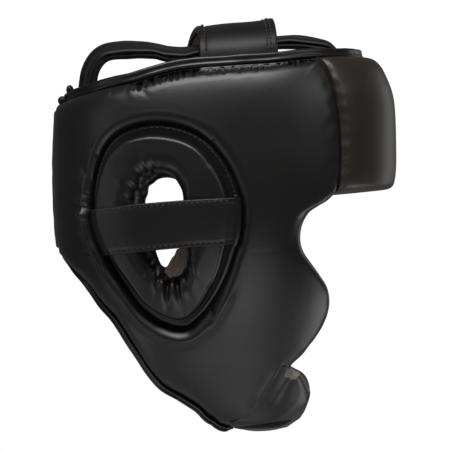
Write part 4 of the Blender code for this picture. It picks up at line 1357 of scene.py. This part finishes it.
def chin_rounding(across, sides):
    """Shares along the chin cup's section and its half thickness there, once round."""
    taper = max(0.0, (abs(across) - CHIN_FULL) / (1 - CHIN_FULL))
    half = CHIN_PAD_WALL / 2 * (0.35 + 0.65 * math.sqrt(max(0.0, 1 - taper ** 2.6)))
    angle = 2 * math.pi * np.arange(sides) / sides
    along = 0.5 + 0.5 * signed_power(np.cos(angle), 0.6)
    return along, signed_power(np.sin(angle), 0.7) * half


CHIN_SIDES, CHIN_ROWS, CHIN_DENT = 96, 121, 0.0002
chin_across = np.sin(np.linspace(-1, 1, CHIN_ROWS) * math.pi / 2)
chin_loops = []
for across in chin_across:
    along, lift = chin_rounding(across, CHIN_SIDES)
    dent = CHIN_DENT * ripple((np.full(CHIN_SIDES, across * 14.0), along * 20.0), "chin")
    chin_loops.append(chin_points(across, along, lift + dent))
chin = tube("chin_pad_leather", chin_loops, False, (BLACK,))
finish_piece(chin, ("chin_pad",))

# Leather over each end of the chin cup, from under the side panel's edge round to the cup's outline.
# Both lines are in the photograph's pixels.
CHEEK_OUTLINE = (
    # across, down
    (286.0, 364.0),
    (292.5, 368.2),
    (299.5, 372.5),
    (305.5, 379.5),
    (309.5, 388.5),
    (310.3, 394.0),
    (307.5, 403.5),
    (302.5, 410.0),
    (290.0, 421.5),
    (284.0, 425.2),
    (274.0, 427.8),
    (255.0, 428.6),
    (236.0, 428.6),
)
CHEEK_INNER = (
    # across, down
    (277.0, 358.0),
    (266.0, 376.0),
    (255.0, 396.0),
    (240.0, 412.0),
    (228.0, 419.0),
)
CHEEK_DEPTH, CHEEK_ROLL, CHEEK_DROP, CHEEK_WALL = 0.0004, 0.0085, 0.0085, 0.0025
CHEEK_TUCK, CHEEK_TUCK_WIDTH, CHEEK_TUCK_ROWS = 0.0042, 0.0050, 12
# The far end of the cup lies lower, so that it stays behind the near one.
FAR_CHEEK_DROP, FAR_CHEEK_LOW, FAR_CHEEK_HIGH = 0.0070, -0.282, -0.246
CHEEK_REACH = CHIN_PAD_HALF_WIDTH + 0.0018
CHEEK_BLEND, CHEEK_WAVE = 0.003, 0.00014
# In the photograph's pixels: soft valley beside the panel's edge, suede patch, and the underside that gets
# painted shade.
VALLEY_X, VALLEY_Y, VALLEY_ACROSS, VALLEY_DOWN, VALLEY_WIDTH = 285.0, 382.0, 0.86, 0.50, 4.5
VALLEY_FADES_FROM, VALLEY_FADES_OVER, VALLEY_DEPTH = 394.0, 16.0, 0.0013
PATCH_X, PATCH_Y, PATCH_WIDE, PATCH_TALL, PATCH_RAGGED = 291.8, 373.6, 6.4, 5.6, 0.20
PATCH_FOOT_X, PATCH_FOOT_Y, PATCH_FOOT_SLOPE = 282.0, 376.5, 0.34
UNDER_X, UNDER_Y, UNDER_SLOPE = 238.0, 427.2, -0.150


def seen_at(px, py, aside_at):
    """Points on the right side, some metres from the centre plane, that show at these pixels."""
    scale = PIXEL * (CAMERA_REACH - aside_at) / CAMERA_REACH
    return np.stack((-aside_at, (MIDDLE - px) * scale, (MIDDLE - py) * scale - CROWN_RISE), axis=-1)


def form_aside(px, py, depth):
    """Distance from the centre plane of the head form where these pixels show it."""
    aside_at = np.full(np.shape(px), 0.05)
    for _ in range(8):
        spot = seen_at(px, py, aside_at)
        height = spot[..., 2] + CROWN_RISE
        aside_at = -skin(turn_at(spot[..., 1], height), height, depth)[..., 0]
    return aside_at


rim_line = trace(CHEEK_OUTLINE, 161)
under_line = trace(CHEEK_INNER, 161)
steps = 1 - (1 - np.linspace(0, 1, 61)) ** 1.5
px = under_line[:, :1] + (rim_line[:, :1] - under_line[:, :1]) * steps
py = under_line[:, 1:] + (rim_line[:, 1:] - under_line[:, 1:]) * steps
reach = np.linalg.norm(rim_line - under_line, axis=1)[:, None] * PIXEL
short = np.clip(1 - reach * (1 - steps) / CHEEK_ROLL, 0, 1)
sink = CHEEK_DROP * (1 - np.sqrt(1 - short ** 2)) + CHEEK_WAVE * ripple((px, py), "cheek")
valley = bell((px - VALLEY_X) * VALLEY_ACROSS + (py - VALLEY_Y) * VALLEY_DOWN, 0.0, VALLEY_WIDTH)
sink = sink + VALLEY_DEPTH * valley * (1 - ease((py - VALLEY_FADES_FROM) / VALLEY_FADES_OVER))
from_start = np.arange(len(px))[:, None] / CHEEK_TUCK_ROWS
tucked = CHEEK_TUCK * (1 - ease(np.minimum(reach * steps / CHEEK_TUCK_WIDTH, from_start)))
past_cup = form_aside(px, py, CHEEK_DEPTH + tucked) - CHEEK_REACH
full = CHEEK_REACH + 0.5 * (past_cup + np.sqrt(past_cup ** 2 + CHEEK_BLEND ** 2))
cheek_outer = seen_at(px, py, full - sink)
cheek_faces = np.concatenate((cheek_outer, cheek_outer[:, ::-1] + np.array((CHEEK_WALL, 0.0, 0.0))), axis=1)
px, py = np.concatenate((px, px[:, ::-1]), axis=1), np.concatenate((py, py[:, ::-1]), axis=1)
ragged = ripple((px, py), "patch_edge")
above_foot = py < PATCH_FOOT_Y + PATCH_FOOT_SLOPE * (px - PATCH_FOOT_X) + ragged
patch = np.hypot((px - PATCH_X) / PATCH_WIDE, (py - PATCH_Y) / PATCH_TALL) + PATCH_RAGGED * ragged
cheek_picks = np.zeros(px.shape, int)
cheek_picks[above_foot & (patch < 1.0)] = 1
# Painted shade: the chin cup's underside gets the darker, duller leather.
cheek_picks[py > UNDER_Y + UNDER_SLOPE * (px - UNDER_X)] = 2
cheek = tube("chin_side_right_leather", cheek_faces, False, (BLACK, PATCH, PAINTED_SHADE_LEATHER), cheek_picks[:-1])
finish_piece(cheek, ())
other = other_side("chin_side_left_leather", cheek)
for corner in other.data.vertices:
    rise = (corner.co.z - FAR_CHEEK_LOW) / (FAR_CHEEK_HIGH - FAR_CHEEK_LOW)
    corner.co.z -= FAR_CHEEK_DROP * float(ease(rise))
other.data.update()
lining_loops = []
for across in np.linspace(-0.6, 0.6, 61):
    along, lift = chin_rounding(across, 18)
    along, lift = along[1:9], lift[1:9]
    fine = np.linspace(0, 7, 43)
    along, lift = np.interp(fine, np.arange(8), along), np.interp(fine, np.arange(8), lift)
    near = chin_points(across, along, lift + CLEARANCE)
    far = chin_points(across, along, lift + CLEARANCE + LINING_THICKNESS)
    lining_loops.append(np.concatenate((near, far[::-1])))
lining = tube("chin_lining_suede", lining_loops, False, (LINING,))
finish_piece(lining, ("chin_lining",))


# Crown strap. Its edges are thicker than the plain solid's, so they need less roll.
CROWN_ROLL_SHARE = 0.72
crown_rows, crown_rolls = [], []
for forward, rise, roll in CROWN_PATH:
    y = -forward * (FRONT_REACH if forward > 0 else REAR_REACH)
    crown_rows.append((y, rise + CROWN_STRAP_THICKNESS / 2))
    crown_rolls.append((y, math.radians(roll)))
crown_line = trace(crown_rows, 221)
crown_along = unit(np.gradient(crown_line, axis=0))
crown_angle = smooth(crown_rolls, crown_line[:, 0], 1) * CROWN_ROLL_SHARE
zero = np.zeros(len(crown_line))
crown_up = np.stack((zero, -crown_along[:, 1], crown_along[:, 0]), axis=1)
aside = np.array((1.0, 0.0, 0.0))
crown_wide = aside * np.cos(crown_angle)[:, None] - crown_up * np.sin(crown_angle)[:, None]
crown_thick = crown_up * np.cos(crown_angle)[:, None] + aside * np.sin(crown_angle)[:, None]
crown_centre = np.stack((zero, crown_line[:, 0], crown_line[:, 1]), axis=1)


def strap_profile(width, web, nose, points):
    """A padded strap's section: a web of some half thickness, and along both edges a nose with two
    beads and a groove between them. Gives sideways and lift."""
    middle = width / 2 - nose
    spots = np.linspace(-middle + nose * 0.5, middle - nose * 0.5, points)
    way = np.linspace(-math.pi * 0.72, math.pi * 0.72, 33)
    reach = nose * (1 - 0.30 * np.exp(-(way / 0.26) ** 2) + 0.05 * np.cos(2 * way))
    side = np.concatenate((spots, middle + reach[::-1] * np.cos(way[::-1])))
    hump = web * (1 + 0.12 * np.cos(spots / middle * math.pi / 2))
    lift = np.concatenate((hump, reach[::-1] * np.sin(way[::-1])))
    side = np.concatenate((side, -side))
    lift = np.concatenate((lift, -lift))
    return side, lift


CROWN_NOSE, CROWN_WEB, CROWN_WAVE, CROWN_SEAM = 0.0046, 0.0022, 0.00018, 0.0066
side, lift = strap_profile(CROWN_STRAP_WIDTH, CROWN_WEB, CROWN_NOSE, 17)
ripples = CROWN_WAVE * ripple((crown_line[:, :1] * 300.0, side[None, :] * 200.0), "crown")
crown_loops = (crown_centre[:, None] + crown_wide[:, None] * side[None, :, None]
               + crown_thick[:, None] * (lift[None, :] + ripples * np.sign(lift))[..., None])
crown = tube("crown_strap_leather", crown_loops, False, (BAND,))
finish_piece(crown, ("crown_strap",))
crown_lines = []
for way in (-1, 1):
    at = way * (CROWN_STRAP_WIDTH / 2 - CROWN_SEAM)
    crown_lines.append((crown_centre + crown_wide * at + crown_thick * CROWN_WEB, crown_thick))
stitches("crown_strap_stitches", crown_lines, CROWN_STITCH)

# Top band.
half_rows = [(aside_share * HALF_WIDTH, rise * TOP_BAND_CLEAR) for aside_share, rise in BAND_PATH]
band_rows = [(-x, z) for x, z in half_rows] + [(x, z) for x, z in reversed(half_rows[:-1])]
band_line = trace(band_rows, 181)
band_along = unit(np.gradient(band_line, axis=0))
band_share = np.linspace(0, 1, len(band_line))
band_forward = (BAND_FORWARD_MIDDLE
                + (BAND_FORWARD_RIGHT - BAND_FORWARD_MIDDLE) * np.clip(1 - 2 * band_share, 0, 1)
                + (BAND_FORWARD_LEFT - BAND_FORWARD_MIDDLE) * np.clip(2 * band_share - 1, 0, 1))


def band_points(rows, across_at, offset):
    """Points of the top band: row numbers, place across from front to rear, offset outwards."""
    x, z = band_line[rows, 0], band_line[rows, 1]
    run, climb = band_along[rows, 0], band_along[rows, 1]
    y = -band_forward[rows] + across_at
    ahead = np.maximum(0.0, WIDEST_SETBACK - y) / (FRONT_REACH + WIDEST_SETBACK)
    bow = (1 - ahead ** FRONT_SQUARENESS) ** (1.8 / FRONT_SQUARENESS)
    slope = -BAND_TILT * across_at - BAND_LOWER
    return np.stack(((x - climb * offset) * bow, y, z + run * offset + slope), axis=-1)


HEM_WIDTH, HEM_RISE, HEM_GROOVE, HEM_GROOVE_WIDTH = 0.0062, 0.0007, 0.0011, 0.0006
BAND_EDGE, BAND_FLAT_POINTS, BAND_ROUND_POINTS, BAND_WAVE = 0.001, 60, 7, 0.00022
band_half = TOP_BAND_WIDTH / 2
band_flat = np.linspace(-band_half + BAND_EDGE, band_half - BAND_EDGE, BAND_FLAT_POINTS)
edge_round = np.linspace(0, math.pi, BAND_ROUND_POINTS + 2)[1:-1]
hem_lift = np.where(np.abs(band_flat) > band_half - HEM_WIDTH, 0.0, -HEM_RISE)
hem_groove = -HEM_GROOVE * bell(np.abs(band_flat), band_half - HEM_WIDTH, HEM_GROOVE_WIDTH)
band_top = TOP_BAND_THICKNESS / 2
rounded = band_half - BAND_EDGE + BAND_EDGE * np.sin(edge_round)
across_at = np.concatenate((band_flat, rounded, band_flat[::-1], -rounded))
offset = np.concatenate((band_top + hem_lift + hem_groove, band_top * np.cos(edge_round),
                         np.full(BAND_FLAT_POINTS, -band_top), -band_top * np.cos(edge_round)))
index = np.arange(len(band_line))
band_rows_at = np.repeat(index[:, None], len(across_at), axis=1)
ripples = BAND_WAVE * ripple((band_share[:, None] * 30.0, across_at[None, :] * 150.0), "band")
band_loops = band_points(band_rows_at, np.tile(across_at, (len(index), 1)),
                         offset[None, :] + ripples * (offset > 0))
band_picks = np.zeros(len(across_at), int)
inner_face = BAND_FLAT_POINTS + BAND_ROUND_POINTS
band_picks[inner_face + 2:inner_face + BAND_FLAT_POINTS - 2] = 1
band = tube("top_band_leather", band_loops, False, (BAND, BAND_LINING), band_picks)
finish_piece(band, ("top_band",))
# Two rows of stitches at the front hem and one at the rear.
BAND_SEAMS = (
    # side, inset, below the top
    (-1, HEM_WIDTH - 0.0014, 0.0001),
    (-1, HEM_WIDTH + 0.0014, 0.0008),
    (1, HEM_WIDTH - 0.0014, 0.0001),
)
band_lines = []
for way, inset, below in BAND_SEAMS:
    place = np.full(len(index), way * (band_half - inset))
    lift_at = np.full(len(index), band_top - below)
    spots = band_points(index, place, lift_at)
    above = band_points(index, place, lift_at + 0.001)
    band_lines.append((spots, unit(above - spots)))
stitches("top_band_stitches", band_lines, BAND_STITCH)

# Stage, light and camera.
FLOOR_DROP = 0.9
FLOOR_SIDE = 5.0
SURROUND_LIGHT = 0.13
BACKDROP_LIGHT = 1.03
floor_height = float(cad_box[0][2]) - FLOOR_DROP


def plain(name, colour, rough):
    """A plain stage material."""
    made_plain = bpy.data.materials.new(name)
    made_plain.use_nodes = True
    surface = made_plain.node_tree.nodes["Principled BSDF"]
    surface.inputs["Base Color"].default_value = (*colour, 1.0)
    surface.inputs["Roughness"].default_value = rough
    surface.inputs["Specular IOR Level"].default_value = 0.0
    return made_plain


bpy.ops.mesh.primitive_plane_add(size=FLOOR_SIDE, location=(0.0, 0.0, floor_height))
floor = bpy.context.object
floor.name = "floor"
floor.data.materials.append(plain("floor_paper", (0.97, 0.97, 0.97), 1.0))

world = bpy.data.worlds.new("studio")
world.use_nodes = True
nodes, links = world.node_tree.nodes, world.node_tree.links
surround = nodes["Background"]
surround.inputs["Color"].default_value = (1.0, 1.0, 1.0, 1.0)
surround.inputs["Strength"].default_value = SURROUND_LIGHT
backdrop = nodes.new("ShaderNodeBackground")
backdrop.inputs["Color"].default_value = (1.0, 1.0, 1.0, 1.0)
backdrop.inputs["Strength"].default_value = BACKDROP_LIGHT
path = nodes.new("ShaderNodeLightPath")
either = nodes.new("ShaderNodeMixShader")
links.new(path.outputs["Is Camera Ray"], either.inputs["Fac"])
links.new(surround.outputs["Background"], either.inputs[1])
links.new(backdrop.outputs["Background"], either.inputs[2])
links.new(either.outputs["Shader"], nodes["World Output"].inputs["Surface"])
bpy.context.scene.world = world


def soft_light(name, place, size, power):
    """A large soft square light aimed at the headgear."""
    lamp = bpy.data.lights.new(name, "AREA")
    lamp.shape = "RECTANGLE"
    lamp.size, lamp.size_y = size
    lamp.energy = power
    holder = bpy.data.objects.new(name, lamp)
    bpy.context.scene.collection.objects.link(holder)
    holder.location = place
    aim = np.array((0.0, 0.0, -CROWN_RISE)) - np.array(place)
    holder.rotation_euler = Vector(aim).to_track_quat("-Z", "Y").to_euler()
    return holder


LIGHTS = (
    # name, x, y, z, width, height, watts
    ("key", -0.62, 0.06, 0.95, 1.0, 0.30, 21.0),
    ("front_high", -0.62, -0.78, 0.52, 0.24, 0.24, 1.3),
    ("front_far", 0.80, -1.10, 0.0, 0.5, 1.0, 1.9),
    ("front_under", -0.10, -1.20, -0.85, 0.6, 0.5, 4.8),
    ("rear_side", -0.75, 1.0, 0.1, 0.25, 0.8, 1.2),
    ("front_low", -1.15, -0.25, -0.95, 0.8, 0.8, 5.5),
    ("rear_low", -0.70, 0.85, -0.80, 0.25, 0.6, 1.8),
)
for name, x, y, z, width, height, watts in LIGHTS:
    soft_light(name, (x, y, z), (width, height), watts)

camera_data = bpy.data.cameras.new("camera")
camera_data.sensor_width = 36.0
camera_data.lens = camera_data.sensor_width * CAMERA_REACH / (PIXEL * PHOTO_SIDE)
camera = bpy.data.objects.new("camera", camera_data)
bpy.context.scene.collection.objects.link(camera)
camera.location = (-CAMERA_REACH, 0.0, -CROWN_RISE)
camera.rotation_euler = (math.pi / 2, 0.0, -math.pi / 2)
bpy.context.scene.camera = camera
bpy.context.scene.view_settings.view_transform = "Standard"
